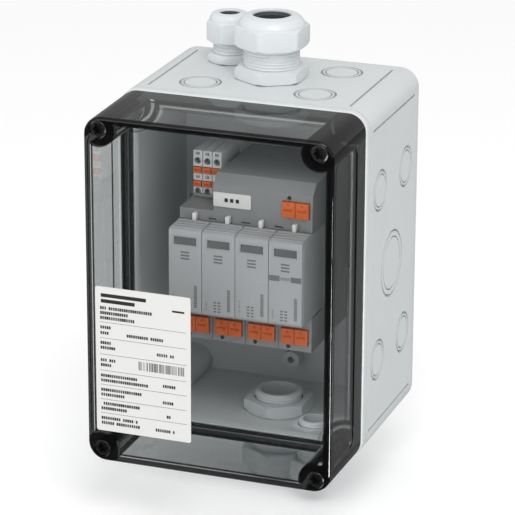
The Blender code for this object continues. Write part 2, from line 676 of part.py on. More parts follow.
def rail_screws():
    head_y = RAIL_BACK_Y - RAIL_SHEET - GAP
    for name, side in (("left", -1), ("right", 1)):
        x = side * RAIL_SCREW_X
        bm = bmesh.new()
        add_rod(bm, (x, head_y - RAIL_HEAD_HEIGHT, 0), (x, head_y, 0), RAIL_SCREW_HEAD_R, 16, RAIL_SCREW_HEAD_R)
        obj = linked(f"rail_screw_{name}", mesh_from_bmesh(bm, "rail_screw"), PARTS, ZINC_STEEL)
        shank = bmesh.new()
        add_rod(shank, (x, head_y - OVERLAP, 0), (x, head_y + RAIL_SHANK_LENGTH, 0), RAIL_SCREW_R, 12)
        combine(obj, "UNION", mesh_from_bmesh(shank, "shank"), f"rail_screw_{name}_shank")


def protector_base():
    back = RAIL_FRONT_Y - GAP
    flange = RAIL_WIDTH / 2 + GAP
    behind = RAIL_FRONT_Y + RAIL_SHEET + GAP
    profile = [
        (SHOULDER_Y, -BAY_HALF), (SHOULDER_Y, PROTECTOR_BOTTOM), (back, PROTECTOR_BOTTOM),
        (back, flange), (behind, flange), (behind, flange - HOOK_GRIP),
        (behind + HOOK_THICKNESS, flange - HOOK_GRIP), (behind + HOOK_THICKNESS, flange + HOOK_THICKNESS),
        (back, flange + HOOK_THICKNESS), (back, PROTECTOR_TOP), (SHOULDER_Y + SHOULDER_BEVEL, PROTECTOR_TOP),
        (SHOULDER_Y, PROTECTOR_TOP - SHOULDER_BEVEL), (SHOULDER_Y, BAY_HALF), (BAY_FLOOR_Y, BAY_HALF),
        (BAY_FLOOR_Y, -BAY_HALF),
    ]
    right = PROTECTOR_LEFT + PROTECTOR_WIDTH
    block = side_plate("protector_base", profile, PROTECTOR_LEFT, right)
    obj = linked("protector_base", block, PARTS, MID_GREY_PLASTIC)
    cuts = bmesh.new()
    notch_low = (PROTECTOR_LEFT - WALL, SHOULDER_Y - WALL, NOTCH_FLOOR)
    add_box(cuts, notch_low, (NOTCH_RIGHT, back + WALL, PROTECTOR_TOP + WALL))
    pocket_x = LEVER_WIDTH + LEVER_CLEARANCE + GAP / 2
    pocket_z = LEVER_HEIGHT / 2 + LEVER_CLEARANCE
    pocket_y = SHOULDER_Y + LEVER_LENGTH - LEVER_PROUD + LEVER_TRAVEL + POCKET_SPARE
    for _, x, z in LEVER_SPOTS:
        add_box(cuts, (x - pocket_x, SHOULDER_Y - WALL, z - pocket_z), (x + pocket_x, pocket_y, z + pocket_z))
        away = TEST_HOLE_FROM_LEVER * (1 if z > 0 else -1)
        hole = (x - TEST_HOLE_SIDE, SHOULDER_Y - WALL, z + away)
        add_rod(cuts, hole, (hole[0], SHOULDER_Y + WALL, hole[2]), TEST_HOLE_R, 8)
    pin_y = SHOULDER_Y + PIN_LENGTH - PIN_PROUD + PIN_TRAVEL + GAP
    for x in POLE_X:
        side = PIN_HALF_WIDTH + GAP
        add_box(cuts, (x - side, SHOULDER_Y - WALL, PIN_LOW - GAP), (x + side, pin_y, PIN_HIGH + GAP))
        for z in (-BLADE_Z, BLADE_Z):
            half_w, half_t = BLADE_THICKNESS / 2 + BLADE_CLEARANCE, BLADE_WIDTH / 2 + BLADE_CLEARANCE
            slot_y = BAY_FLOOR_Y + BLADE_LENGTH + POCKET_SPARE
            add_box(cuts, (x - half_w, BAY_FLOOR_Y - WALL, z - half_t), (x + half_w, slot_y, z + half_t))
    side = LATCH_HALF_WIDTH + GAP
    x = PROTECTOR_X
    latch_front = back - LATCH_THICKNESS - GAP
    latch_low = (x - side, latch_front, PROTECTOR_BOTTOM - WALL)
    add_box(cuts, latch_low, (x + side, back + WALL, -RAIL_HAT_WIDTH / 2))
    combine(obj, "DIFFERENCE", mesh_from_bmesh(cuts, "cuts"), "protector_cuts")


def foot_latch():
    """The spring foot that holds the protector to the rail's lower flange. It slides down to let go."""
    back = RAIL_FRONT_Y - GAP
    front = back - LATCH_THICKNESS
    behind = RAIL_FRONT_Y + RAIL_SHEET + GAP
    low = PROTECTOR_BOTTOM - LATCH_PROUD
    flange = -RAIL_WIDTH / 2 - GAP
    profile = [
        (front, low), (back, low), (back, flange - HOOK_THICKNESS),
        (behind + HOOK_THICKNESS, flange - HOOK_THICKNESS),
        (behind + HOOK_THICKNESS, flange + HOOK_GRIP), (behind, flange + HOOK_GRIP), (behind, flange),
        (back, flange), (back, -RAIL_HAT_WIDTH / 2 - GAP - WALL / 2),
        (front, -RAIL_HAT_WIDTH / 2 - GAP - WALL / 2),
    ]
    mesh = side_plate("foot_latch", profile, PROTECTOR_X - LATCH_HALF_WIDTH, PROTECTOR_X + LATCH_HALF_WIDTH)
    origin_at(linked("protector_foot_latch", mesh, PARTS, DARK_PLASTIC), (PROTECTOR_X, back, flange))


def plugs():
    """The pull-out arrester modules. Each origin is at the middle of its front face."""
    half_w = POLE_PITCH / 2 - PLUG_SIDE_GAP / 2
    depth = BAY_FLOOR_Y - GAP - PLUG_FRONT_Y
    bm = bmesh.new()
    add_box(bm, (-half_w, 0, -PLUG_HALF_HEIGHT), (half_w, depth, PLUG_HALF_HEIGHT))
    obj = linked("plug_shape", mesh_from_bmesh(bm, "plug"), CUTTERS, PALE_GREY_PLASTIC)
    blades = bmesh.new()
    for z in (-BLADE_Z, BLADE_Z):
        add_box(blades, (-BLADE_THICKNESS / 2, depth - WALL, z - BLADE_WIDTH / 2),
                (BLADE_THICKNESS / 2, depth + BLADE_LENGTH, z + BLADE_WIDTH / 2))
    combine(obj, "UNION", mesh_from_bmesh(blades, "blades"), "plug_blades")
    window_low = (-WINDOW_HALF_WIDTH, -WALL, WINDOW_LOW)
    window = boxes("window", [(window_low, (WINDOW_HALF_WIDTH, WINDOW_SINK, WINDOW_HIGH))])
    combine(obj, "DIFFERENCE", window, "plug_window")
    mesh = baked(obj)
    for i, x in enumerate(POLE_X):
        plug = linked(f"protector_plug_{i + 1}", mesh, PARTS, PALE_GREY_PLASTIC)
        plug.location = (x, PLUG_FRONT_Y, 0)


def status_pins():
    mesh = boxes("status_pin", [((-PIN_HALF_WIDTH, 0, 0), (PIN_HALF_WIDTH, PIN_LENGTH, PIN_HIGH - PIN_LOW))])
    for i, x in enumerate(POLE_X):
        pin = linked(f"status_pin_{i + 1}", mesh, PARTS, WHITE_PLASTIC)
        pin.location = (x, SHOULDER_Y - PIN_PROUD, PIN_LOW)


def protector_levers():
    half_w, half_h = LEVER_WIDTH / 2, LEVER_HEIGHT / 2
    mesh = boxes("lever", [((-half_w, 0, -half_h), (half_w, LEVER_LENGTH, half_h))])
    for place, x, z in LEVER_SPOTS:
        for hand, side in (("left", -1), ("right", 1)):
            lever = linked(f"lever_{place}_{hand}", mesh, PARTS, ORANGE_PLASTIC)
            lever.location = (x + side * (LEVER_WIDTH + GAP) / 2, SHOULDER_Y - LEVER_PROUD, z)


def terminals():
    """Three signal terminals on a carrier in the protector's notch, each with two release levers."""
    half = TERMINAL_PITCH / 2 - GAP / 2
    left = TERMINAL_X[0] - TERMINAL_PITCH / 2
    right = TERMINAL_X[-1] + TERMINAL_PITCH / 2
    back = TERMINAL_FRONT_Y + TERMINAL_LENGTH
    carrier_low = (left, TERMINAL_FRONT_Y, NOTCH_FLOOR + GAP)
    carrier = boxes("terminal_carrier", [(carrier_low, (right, back, TERMINAL_FOOT - GAP))])
    linked("terminal_carrier", carrier, PARTS, MID_GREY_PLASTIC)

    bevel = TERMINAL_BEVEL
    profile = [
        (0, TERMINAL_FOOT), (TERMINAL_LENGTH, TERMINAL_FOOT), (TERMINAL_LENGTH, TERMINAL_TOP - bevel),
        (TERMINAL_LENGTH - bevel, TERMINAL_TOP), (0, TERMINAL_TOP),
    ]
    body = linked("terminal_shape", side_plate("terminal", profile, -half, half), CUTTERS, PALE_GREY_PLASTIC)
    cuts = bmesh.new()
    side = TERMINAL_LEVER_HALF_WIDTH + GAP
    deep = TERMINAL_LEVER_LENGTH - TERMINAL_LEVER_PROUD + TERMINAL_LEVER_TRAVEL + GAP
    for (low, high), way in zip(TERMINAL_LEVERS, (1, -1)):
        add_box(cuts, (-side, -WALL, low - GAP), (side, deep, high + GAP))
        z = (high + ENTRY_FROM_LEVER) if way > 0 else (low - LOWER_ENTRY_GAP - ENTRY_R)
        add_rod(cuts, (0, -WALL, z), (0, ENTRY_DEPTH, z), ENTRY_R, 12)
    combine(body, "DIFFERENCE", mesh_from_bmesh(cuts, "cuts"), "terminal_cuts")
    mesh = baked(body)
    for i, x in enumerate(TERMINAL_X):
        terminal = linked(f"terminal_{i + 1}", mesh, PARTS, PALE_GREY_PLASTIC)
        terminal.location = (x, TERMINAL_FRONT_Y, 0)
    for row, (low, high) in zip(("upper", "lower"), TERMINAL_LEVERS):
        lever_half = TERMINAL_LEVER_HALF_WIDTH
        size = (lever_half, TERMINAL_LEVER_LENGTH, high - low)
        mesh = boxes("terminal_lever", [((-lever_half, 0, 0), size)])
        for i, x in enumerate(TERMINAL_X):
            lever = linked(f"terminal_lever_{i + 1}_{row}", mesh, PARTS, ORANGE_PLASTIC)
            lever.location = (x, TERMINAL_FRONT_Y - TERMINAL_LEVER_PROUD, low)


def device_tag():
    mesh = boxes("device_tag", [((0, 0, 0), (TAG_WIDTH, TAG_THICKNESS, TAG_HEIGHT))])
    tag = linked("device_tag", mesh, PARTS, WHITE_LABEL)
    tag.location = (NOTCH_RIGHT + GAP, SHOULDER_Y - TAG_THICKNESS - STICKER_LIFT, TAG_Z - TAG_HEIGHT / 2)


for startup_object in list(bpy.data.objects):
    bpy.data.objects.remove(startup_object)
PARTS = collection("combiner_box")
CUTTERS = collection("cutters")
GREY_PLASTIC = material("light_grey_plastic", (0.62, 0.65, 0.65), 0.5)
SMOKED_PLASTIC = material("smoked_clear_plastic", (0.12, 0.12, 0.12), 0.08, alpha=0.45)
LIGHT_NYLON = material("light_nylon", (0.72, 0.74, 0.74), 0.4)
DARK_RUBBER = material("dark_rubber", (0.03, 0.03, 0.03), 0.7)
DARK_PLASTIC = material("dark_plastic", (0.03, 0.03, 0.03), 0.35)
MID_GREY_PLASTIC = material("mid_grey_plastic", (0.3, 0.31, 0.31), 0.5)
PALE_GREY_PLASTIC = material("pale_grey_plastic", (0.55, 0.56, 0.56), 0.5)
ORANGE_PLASTIC = material("orange_plastic", (0.85, 0.19, 0.03), 0.4)
WHITE_PLASTIC = material("white_plastic", (0.85, 0.85, 0.83), 0.45)
WHITE_LABEL = material("white_label", (0.86, 0.86, 0.85), 0.5)
ZINC_STEEL = material("zinc_steel", (0.6, 0.61, 0.62), 0.35, metallic=1.0)

base_shell()
lid_shell()
lid_gasket()
lid_screws()
type_label()
glands()
din_rail()
rail_screws()
protector_base()
foot_latch()
plugs()
status_pins()
protector_levers()
terminals()
device_tag()
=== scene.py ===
import json
import math

import bmesh
import bpy
from bpy.props import FloatProperty, FloatVectorProperty, IntProperty, PointerProperty
from mathutils import Matrix, Vector


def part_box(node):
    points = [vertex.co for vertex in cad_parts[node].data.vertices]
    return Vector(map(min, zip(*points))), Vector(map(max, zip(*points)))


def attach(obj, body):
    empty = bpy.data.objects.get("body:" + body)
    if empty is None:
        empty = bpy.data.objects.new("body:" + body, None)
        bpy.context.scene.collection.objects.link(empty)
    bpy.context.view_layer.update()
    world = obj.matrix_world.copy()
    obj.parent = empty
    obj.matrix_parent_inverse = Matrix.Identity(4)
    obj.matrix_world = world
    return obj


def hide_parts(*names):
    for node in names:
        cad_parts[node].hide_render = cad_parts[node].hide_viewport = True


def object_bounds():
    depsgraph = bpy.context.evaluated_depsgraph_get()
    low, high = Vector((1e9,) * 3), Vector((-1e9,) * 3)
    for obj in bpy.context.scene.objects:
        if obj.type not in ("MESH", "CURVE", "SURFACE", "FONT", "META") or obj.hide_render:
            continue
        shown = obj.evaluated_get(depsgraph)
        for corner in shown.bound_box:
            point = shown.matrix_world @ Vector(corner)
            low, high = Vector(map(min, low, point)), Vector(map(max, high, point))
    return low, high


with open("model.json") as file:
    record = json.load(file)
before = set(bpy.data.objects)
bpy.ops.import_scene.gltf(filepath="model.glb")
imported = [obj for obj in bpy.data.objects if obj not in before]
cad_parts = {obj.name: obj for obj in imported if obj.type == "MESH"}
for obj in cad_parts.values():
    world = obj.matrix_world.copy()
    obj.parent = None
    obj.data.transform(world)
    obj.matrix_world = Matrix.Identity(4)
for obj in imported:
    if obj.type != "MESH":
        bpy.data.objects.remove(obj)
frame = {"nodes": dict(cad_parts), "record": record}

bl_info = {
    "name": "Combiner Box Visual",
    "version": (1, 0, 0),
    "blender": (4, 5, 0),
    "location": "3D View > Sidebar > Combiner Box",
    "description": "Dresses the combiner box's frame with finished pieces, materials and a studio stage",
    "category": "Object",
}

MM = 0.001
CAD_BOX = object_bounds()
OVER = 1 * MM  # how far a cutter reaches past what it cuts
CLEAR = 0.3 * MM  # room left round a piece that sits in another
PRINT_SUNK, PRINT_THICK = 0.02, 0.04  # in millimetres, as the printed marks are laid out in them


# ---------------------------------------------------------------- colours and settings


def srgb(code):
    """An sRGB hex code as linear red, green and blue."""
    values = [int(code[i : i + 2], 16) / 255 for i in (1, 3, 5)]
    return tuple(v / 12.92 if v <= 0.04045 else ((v + 0.055) / 1.055) ** 2.4 for v in values)


def colour_setting(name, description, code):
    return FloatVectorProperty(
        name=name, description=description, subtype="COLOR", size=3, min=0, max=1, default=srgb(code)
    )


def length_setting(name, description, millimetres):
    return FloatProperty(
        name=name, description=description, default=millimetres * MM, unit="LENGTH", subtype="DISTANCE"
    )


def angle_setting(name, description, radians):
    return FloatProperty(name=name, description=description, default=radians, unit="ROTATION", subtype="ANGLE")


def power_setting(name, description, watts):
    return FloatProperty(name=name, description=description, default=watts, unit="POWER")


class FinishSettings(bpy.types.PropertyGroup):
    """Colours of the moulded, printed and plated finishes."""

    enclosure: colour_setting("Enclosure", "Moulded base of the box", "#D5D9DA")
    smoke: colour_setting("Smoke tint", "What one face of the lid lets through", "#EDEEEE")
    gland: colour_setting("Glands", "Cable glands and lock nuts", "#DADEE0")
    protector: colour_setting("Protector", "Protector's base and terminal carrier", "#8D8F90")
    plug: colour_setting("Plugs", "Arrester plugs", "#B0B2B4")
    terminal: colour_setting("Terminals", "Signal terminals", "#D6D9DA")
    lever: colour_setting("Levers", "Release levers", "#DD6A30")
    ink: colour_setting("Ink", "Printed marks", "#232325")


class EnclosureSettings(bpy.types.PropertyGroup):
    """Sizes of the box's base and lid."""

    corner_radius: length_setting("Corner radius", "Outer corners of the base", 10)
    back_radius: length_setting("Back edge radius", "Rounding of the edge at the wall", 3)
    front_radius: length_setting("Front edge radius", "Rounding round the lid's face", 1.6)
    wall: length_setting("Wall", "Thickness of the base's and the lid's walls", 3)
    rim_width: length_setting("Rim width", "Width of the sealing rim", 8)
    tower_radius: length_setting("Tower radius", "Posts that hold the lid's screws", 8.8)
    groove_depth: length_setting("Score depth", "Depth of the knock-outs' grooves", 2.0)
    score_width: length_setting("Score width", "Width of the straight score lines", 1.25)
    small_knockout: length_setting("Small knock-out", "Radius of the small knock-outs", 10.2)
    large_knockout: length_setting("Large knock-out", "Radius of the large knock-outs", 16.8)
    inner_ring: FloatProperty(
        name="Inner ring", description="Inner groove as a share of the outer", default=0.81, subtype="FACTOR"
    )


class GlandSettings(bpy.types.PropertyGroup):
    """Sizes of the glands' fine shapes."""

    thread_pitch: length_setting("Thread pitch", "Distance between turns of the thread", 1.5)
    thread_height: length_setting("Thread height", "How far the thread stands out", 0.5)
    edge: length_setting("Edge", "Softening of moulded edges", 0.45)


class DeviceSettings(bpy.types.PropertyGroup):
    """Details of the protector, its plugs and the terminals."""

    edge: length_setting("Edge", "Softening of moulded edges", 0.25)
    rib_count: IntProperty(name="Ribs", description="Grip ribs on the top of a plug", default=4)
    rib_height: length_setting("Rib height", "How far a grip rib stands out", 0.35)
    seed: IntProperty(name="Print seed", description="Chooses the lengths of the printed bars", default=7)


class StageSettings(bpy.types.PropertyGroup):
    """Camera and lights."""

    lens: FloatProperty(name="Lens", description="Focal length", default=205.85, unit="CAMERA")
    yaw: angle_setting("Yaw", "Camera to the right of the lid", 0.3484)
    pitch: angle_setting("Pitch", "Camera above the box", 0.3431)
    roll: angle_setting("Roll", "Camera's turn about its view", 0.004)
    surround: FloatProperty(name="Surround", description="Strength of the room's soft light", default=0.84)
    mirrored: FloatProperty(name="Reflections", description="Strength of the room in glossy surfaces", default=0.5)
    key: power_setting("Key light", "Power of the main light", 9.0)
    inner: power_setting("Inner fill", "Power of the lamp behind the lid", 0.011)
    card: power_setting("Edge card", "Power of the card that edges reflect", 2.5)


class BoxSettings(bpy.types.PropertyGroup):
    """Everything that can be set on the combiner box."""

    finish: PointerProperty(type=FinishSettings, name="Finish", description="Colours")
    enclosure: PointerProperty(type=EnclosureSettings, name="Enclosure", description="Base and lid")
    gland: PointerProperty(type=GlandSettings, name="Glands", description="Cable glands")
    device: PointerProperty(type=DeviceSettings, name="Devices", description="Protector and terminals")
    stage: PointerProperty(type=StageSettings, name="Stage", description="Camera and lights")


# ---------------------------------------------------------------- shader materials


def add_node(tree, kind, inputs=None, **settings):
    """Adds a node, sets its properties and gives each input a value or a link."""
    made = tree.nodes.new(kind)
    for key, value in settings.items():
        setattr(made, key, value)
    for key, value in (inputs or {}).items():
        if isinstance(value, bpy.types.NodeSocket):
            tree.links.new(value, made.inputs[key])
        else:
            made.inputs[key].default_value = value
    return made


def start_material(name):
    """A named material, its node tree and its Object coordinates."""
    made = bpy.data.materials.new(name)
    made.use_nodes = True
    made.node_tree.nodes.clear()
    where = add_node(made.node_tree, "ShaderNodeTexCoord").outputs["Object"]
    return made, made.node_tree, where


def finish_material(tree, shader):
    add_node(tree, "ShaderNodeOutputMaterial", {"Surface": shader.outputs[0]})


def moulded_plastic(name, colour, roughness, grain_mm, grain_depth, mottle=0.05, ior=1.5):
    """Moulded plastic: a spark-eroded grain in the surface, a slow change of tone from the melt's flow, and
    gloss that varies a little where the part has been handled."""
    made, tree, where = start_material(name)
    grain = add_node(
        tree, "ShaderNodeTexNoise", {"Vector": where, "Scale": 1 / (grain_mm * MM), "Detail": 3.0, "Roughness": 0.6}
    )
    flow = add_node(tree, "ShaderNodeTexNoise", {"Vector": where, "Scale": 1 / (22 * MM), "Detail": 2.0})
    scuff = add_node(
        tree, "ShaderNodeTexNoise", {"Vector": where, "Scale": 1 / (6 * MM), "Detail": 4.0, "Roughness": 0.65}
    )
    darker = tuple(c * (1 - mottle) for c in colour)
    tone = add_node(tree, "ShaderNodeMix", {0: flow.outputs["Fac"], 6: (*darker, 1), 7: (*colour, 1)}, data_type="RGBA")
    speck = add_node(tree, "ShaderNodeMapRange", {0: grain.outputs["Fac"], 1: 0.3, 2: 0.7, 3: 0.97, 4: 1.0})
    shade = add_node(
        tree, "ShaderNodeMix", {0: 1.0, 6: tone.outputs[2], 7: speck.outputs[0]},
        data_type="RGBA", blend_type="MULTIPLY",
    )
    gloss = add_node(
        tree, "ShaderNodeMapRange", {0: scuff.outputs["Fac"], 1: 0.3, 2: 0.7, 3: roughness - 0.05, 4: roughness + 0.06}
    )
    bump = add_node(
        tree, "ShaderNodeBump", {"Height": grain.outputs["Fac"], "Distance": grain_depth * MM, "Strength": 0.6}
    )
    shader = add_node(tree, "ShaderNodeBsdfPrincipled", {
        "Base Color": shade.outputs[2], "Roughness": gloss.outputs[0], "Normal": bump.outputs[0], "IOR": ior,
    })
    finish_material(tree, shader)
    return made


RIM_TINT = 0.08  # what is left of the tint where the plastic is seen end-on
LOWER_WALL_PAINTED_SHADE = 0.17  # share of that in the lid's lower wall only, which is seen through at a slant: its extra dark is painted shade for the shade under the box
FACE_MIRROR, SIDE_MIRROR = 0.8, 1.3  # shares of the mirror image, and what the side walls add to it
BLEND = 0.3 * MM  # width over which the dark bands fade


def smoke_tinted_polycarbonate(tint, half_w, half_h, towers, tower_r):
    """Polished polycarbonate with a smoke dye. A face lets most light through. Where the eye meets a wall end-on,
    at the rims, the rounded corners and the screw towers, the dye adds up and the plastic goes nearly black."""
    made, tree, where = start_material("smoke_tinted_polycarbonate")

    def maths(operation, first, second=0.0, third=0.0):
        return add_node(tree, "ShaderNodeMath", {0: first, 1: second, 2: third}, operation=operation).outputs[0]

    place = add_node(tree, "ShaderNodeSeparateXYZ", {0: where})
    across, up = maths("ABSOLUTE", place.outputs[0]), maths("ABSOLUTE", place.outputs[2])
    geometry = add_node(tree, "ShaderNodeNewGeometry")
    facing = add_node(tree, "ShaderNodeSeparateXYZ", {0: geometry.outputs["True Normal"]})
    front = maths("ABSOLUTE", facing.outputs[1])
    is_front = maths("GREATER_THAN", front, 0.9)
    is_curved = maths("MULTIPLY", maths("GREATER_THAN", front, 0.15), maths("LESS_THAN", front, 0.9))
    from_rim = maths("MAXIMUM", maths("SUBTRACT", across, half_w), maths("SUBTRACT", up, half_h))
    tower_x, tower_z = towers
    reach = add_node(
        tree, "ShaderNodeCombineXYZ", {0: maths("SUBTRACT", across, tower_x), 1: maths("SUBTRACT", up, tower_z)}
    )
    length = add_node(tree, "ShaderNodeVectorMath", {0: reach.outputs[0]}, operation="LENGTH").outputs[1]
    from_tower = maths("SUBTRACT", tower_r, length)
    band = maths("MAXIMUM", from_rim, from_tower)
    band = add_node(tree, "ShaderNodeMapRange", {0: band, 1: -BLEND, 2: BLEND, 3: 0.0, 4: 1.0}).outputs[0]
    corner = maths("MULTIPLY", maths("GREATER_THAN", across, tower_x), maths("GREATER_THAN", up, tower_z - 3 * MM))
    corner = maths("MAXIMUM", corner, maths("GREATER_THAN", from_tower, -BLEND))
    side = maths("MULTIPLY", maths("LESS_THAN", front, 0.15), corner)
    edge_on = maths("MAXIMUM", maths("MULTIPLY", is_front, band), is_curved)
    level = maths("GREATER_THAN", maths("ABSOLUTE", facing.outputs[2]), 0.9)
    # Only the lower wall is darkened, not the upper one: painted shade for the shade under the box, laid over the
    # longer slant path through the dye.
    lower = maths("MULTIPLY", level, maths("LESS_THAN", place.outputs[2], 0.0))
    thick_and_painted_shade = maths("MAXIMUM", edge_on, maths("MAXIMUM", side, maths("MULTIPLY", lower, LOWER_WALL_PAINTED_SHADE)))
    streak = add_node(tree, "ShaderNodeTexNoise", {"Vector": where, "Scale": 1 / (30 * MM), "Detail": 2.0})
    clear = add_node(tree, "ShaderNodeMix", {
        0: streak.outputs["Fac"], 6: (*[c * 0.97 for c in tint], 1), 7: (*tint, 1)}, data_type="RGBA")
    seen = add_node(
        tree, "ShaderNodeMix", {0: thick_and_painted_shade, 6: clear.outputs[2], 7: (*[c * RIM_TINT for c in tint], 1)}, data_type="RGBA"
    )
    # Light on its way in isn't dimmed, as the lamps stand for a much brighter room.
    looked_at = add_node(tree, "ShaderNodeLightPath").outputs["Is Camera Ray"]
    passed = add_node(tree, "ShaderNodeMix", {0: looked_at, 6: (1, 1, 1, 1), 7: seen.outputs[2]}, data_type="RGBA")
    hole = add_node(tree, "ShaderNodeBsdfTransparent", {"Color": passed.outputs[2]})
    haze = add_node(tree, "ShaderNodeTexNoise", {"Vector": where, "Scale": 1 / (9 * MM), "Detail": 4.0})
    gloss = add_node(tree, "ShaderNodeMapRange", {0: haze.outputs["Fac"], 1: 0.35, 2: 0.75, 3: 0.03, 4: 0.07})
    mirror = add_node(tree, "ShaderNodeBsdfGlossy", {"Color": (1, 1, 1, 1), "Roughness": gloss.outputs[0]})
    edge = add_node(tree, "ShaderNodeFresnel", {"IOR": 1.56})
    # A side wall is seen at a grazing angle, where its inner face mirrors the room as well.
    sideways = maths("GREATER_THAN", maths("ABSOLUTE", facing.outputs[0]), 0.95)
    glossier = maths("MULTIPLY_ADD", sideways, SIDE_MIRROR, FACE_MIRROR)
    outer = maths("SUBTRACT", 1.0, geometry.outputs["Backfacing"])
    share = maths("MULTIPLY", edge.outputs[0], maths("MULTIPLY", glossier, outer))
    shader = add_node(tree, "ShaderNodeMixShader", {0: share, 1: hole.outputs[0], 2: mirror.outputs[0]})
    finish_material(tree, shader)
    return made


def printed_polyester_film(name, colour):
    """Matt white printable film, with the faint orange-peel of its top coat."""
    made, tree, where = start_material(name)
    peel = add_node(tree, "ShaderNodeTexNoise", {"Vector": where, "Scale": 1 / (0.8 * MM), "Detail": 2.0})
    bump = add_node(tree, "ShaderNodeBump", {"Height": peel.outputs["Fac"], "Distance": 0.01 * MM, "Strength": 0.4})
    tone = add_node(tree, "ShaderNodeMix", {
        0: peel.outputs["Fac"], 6: (*[c * 0.97 for c in colour], 1), 7: (*colour, 1)}, data_type="RGBA")
    shader = add_node(tree, "ShaderNodeBsdfPrincipled", {
        "Base Color": tone.outputs[2], "Roughness": 0.38, "Normal": bump.outputs[0]})
    finish_material(tree, shader)
    return made


def thermal_transfer_ink(name, colour):
    """Black resin ink: matt, and slightly uneven where the ribbon left less of it."""
    made, tree, where = start_material(name)
    wear = add_node(tree, "ShaderNodeTexNoise", {"Vector": where, "Scale": 1 / (0.5 * MM), "Detail": 3.0})
    paler = tuple(min(1, c * 2.2 + 0.01) for c in colour)
    tone = add_node(tree, "ShaderNodeMapRange", {0: wear.outputs["Fac"], 1: 0.5, 2: 0.8, 3: 0.0, 4: 1.0})
    shade = add_node(tree, "ShaderNodeMix", {0: tone.outputs[0], 6: (*colour, 1), 7: (*paler, 1)}, data_type="RGBA")
    shader = add_node(tree, "ShaderNodeBsdfPrincipled", {"Base Color": shade.outputs[2], "Roughness": 0.6})
    finish_material(tree, shader)
    return made


def nitrile_rubber(name, colour):
    """Moulded rubber: a soft sheen with dust in a fine, dull grain."""
    made, tree, where = start_material(name)
    grain = add_node(tree, "ShaderNodeTexNoise", {"Vector": where, "Scale": 1 / (0.35 * MM), "Detail": 3.0})
    dust = add_node(tree, "ShaderNodeTexNoise", {"Vector": where, "Scale": 1 / (5 * MM), "Detail": 4.0})
    tone = add_node(tree, "ShaderNodeMix", {
        0: dust.outputs["Fac"], 6: (*colour, 1), 7: (*[c * 1.5 for c in colour], 1)}, data_type="RGBA")
    bump = add_node(tree, "ShaderNodeBump", {"Height": grain.outputs["Fac"], "Distance": 0.03 * MM, "Strength": 0.5})
    finish_material(tree, add_node(tree, "ShaderNodeBsdfPrincipled", {
        "Base Color": tone.outputs[2], "Roughness": 0.62, "Normal": bump.outputs[0]}))
    return made


def zinc_plated_steel(name):
    """Rolled steel strip with bright passivated zinc: fine lines along the rail and a faint spangle in its gloss."""
    made, tree, where = start_material(name)
    stretched = add_node(tree, "ShaderNodeMapping", {"Vector": where, "Scale": (0.03, 1.0, 1.0)})
    lines = add_node(
        tree, "ShaderNodeTexNoise", {"Vector": stretched.outputs[0], "Scale": 1 / (0.3 * MM), "Detail": 3.0}
    )
    spangle = add_node(tree, "ShaderNodeTexVoronoi", {"Vector": where, "Scale": 1 / (3 * MM)})
    base, shadow = srgb("#C9CACB"), srgb("#A9ABAD")
    tone = add_node(tree, "ShaderNodeMix", {0: lines.outputs["Fac"], 6: (*shadow, 1), 7: (*base, 1)}, data_type="RGBA")
    gloss = add_node(tree, "ShaderNodeMapRange", {0: spangle.outputs["Distance"], 1: 0.0, 2: 0.8, 3: 0.26, 4: 0.38})
    bump = add_node(tree, "ShaderNodeBump", {"Height": lines.outputs["Fac"], "Distance": 0.01 * MM, "Strength": 0.5})
    finish_material(tree, add_node(tree, "ShaderNodeBsdfPrincipled", {
        "Base Color": tone.outputs[2], "Roughness": gloss.outputs[0], "Normal": bump.outputs[0], "Metallic": 1.0}))
    return made


def backdrop_paper():
    """Seamless white studio paper, kept out of the lid's reflections."""
    made, tree, where = start_material("backdrop_paper")
    fibre = add_node(tree, "ShaderNodeTexNoise", {"Vector": where, "Scale": 1 / (2 * MM), "Detail": 3.0})
    tone = add_node(tree, "ShaderNodeMapRange", {0: fibre.outputs["Fac"], 1: 0.0, 2: 1.0, 3: 0.93, 4: 0.95})
    colour = add_node(tree, "ShaderNodeCombineColor", {0: tone.outputs[0], 1: tone.outputs[0], 2: tone.outputs[0]})
    paper = add_node(tree, "ShaderNodeBsdfPrincipled", {
        "Base Color": colour.outputs[0], "Roughness": 0.9, "Specular IOR Level": 0.0,
        "Emission Color": (1, 1, 1, 1), "Emission Strength": 0.08})
    dim = add_node(tree, "ShaderNodeBsdfDiffuse", {"Color": (0.1, 0.1, 0.1, 1)})
    mirrored = add_node(tree, "ShaderNodeLightPath").outputs["Is Glossy Ray"]
    finish_material(tree, add_node(tree, "ShaderNodeMixShader", {0: mirrored, 1: paper.outputs[0], 2: dim.outputs[0]}))
    return made


FINISHES = {}


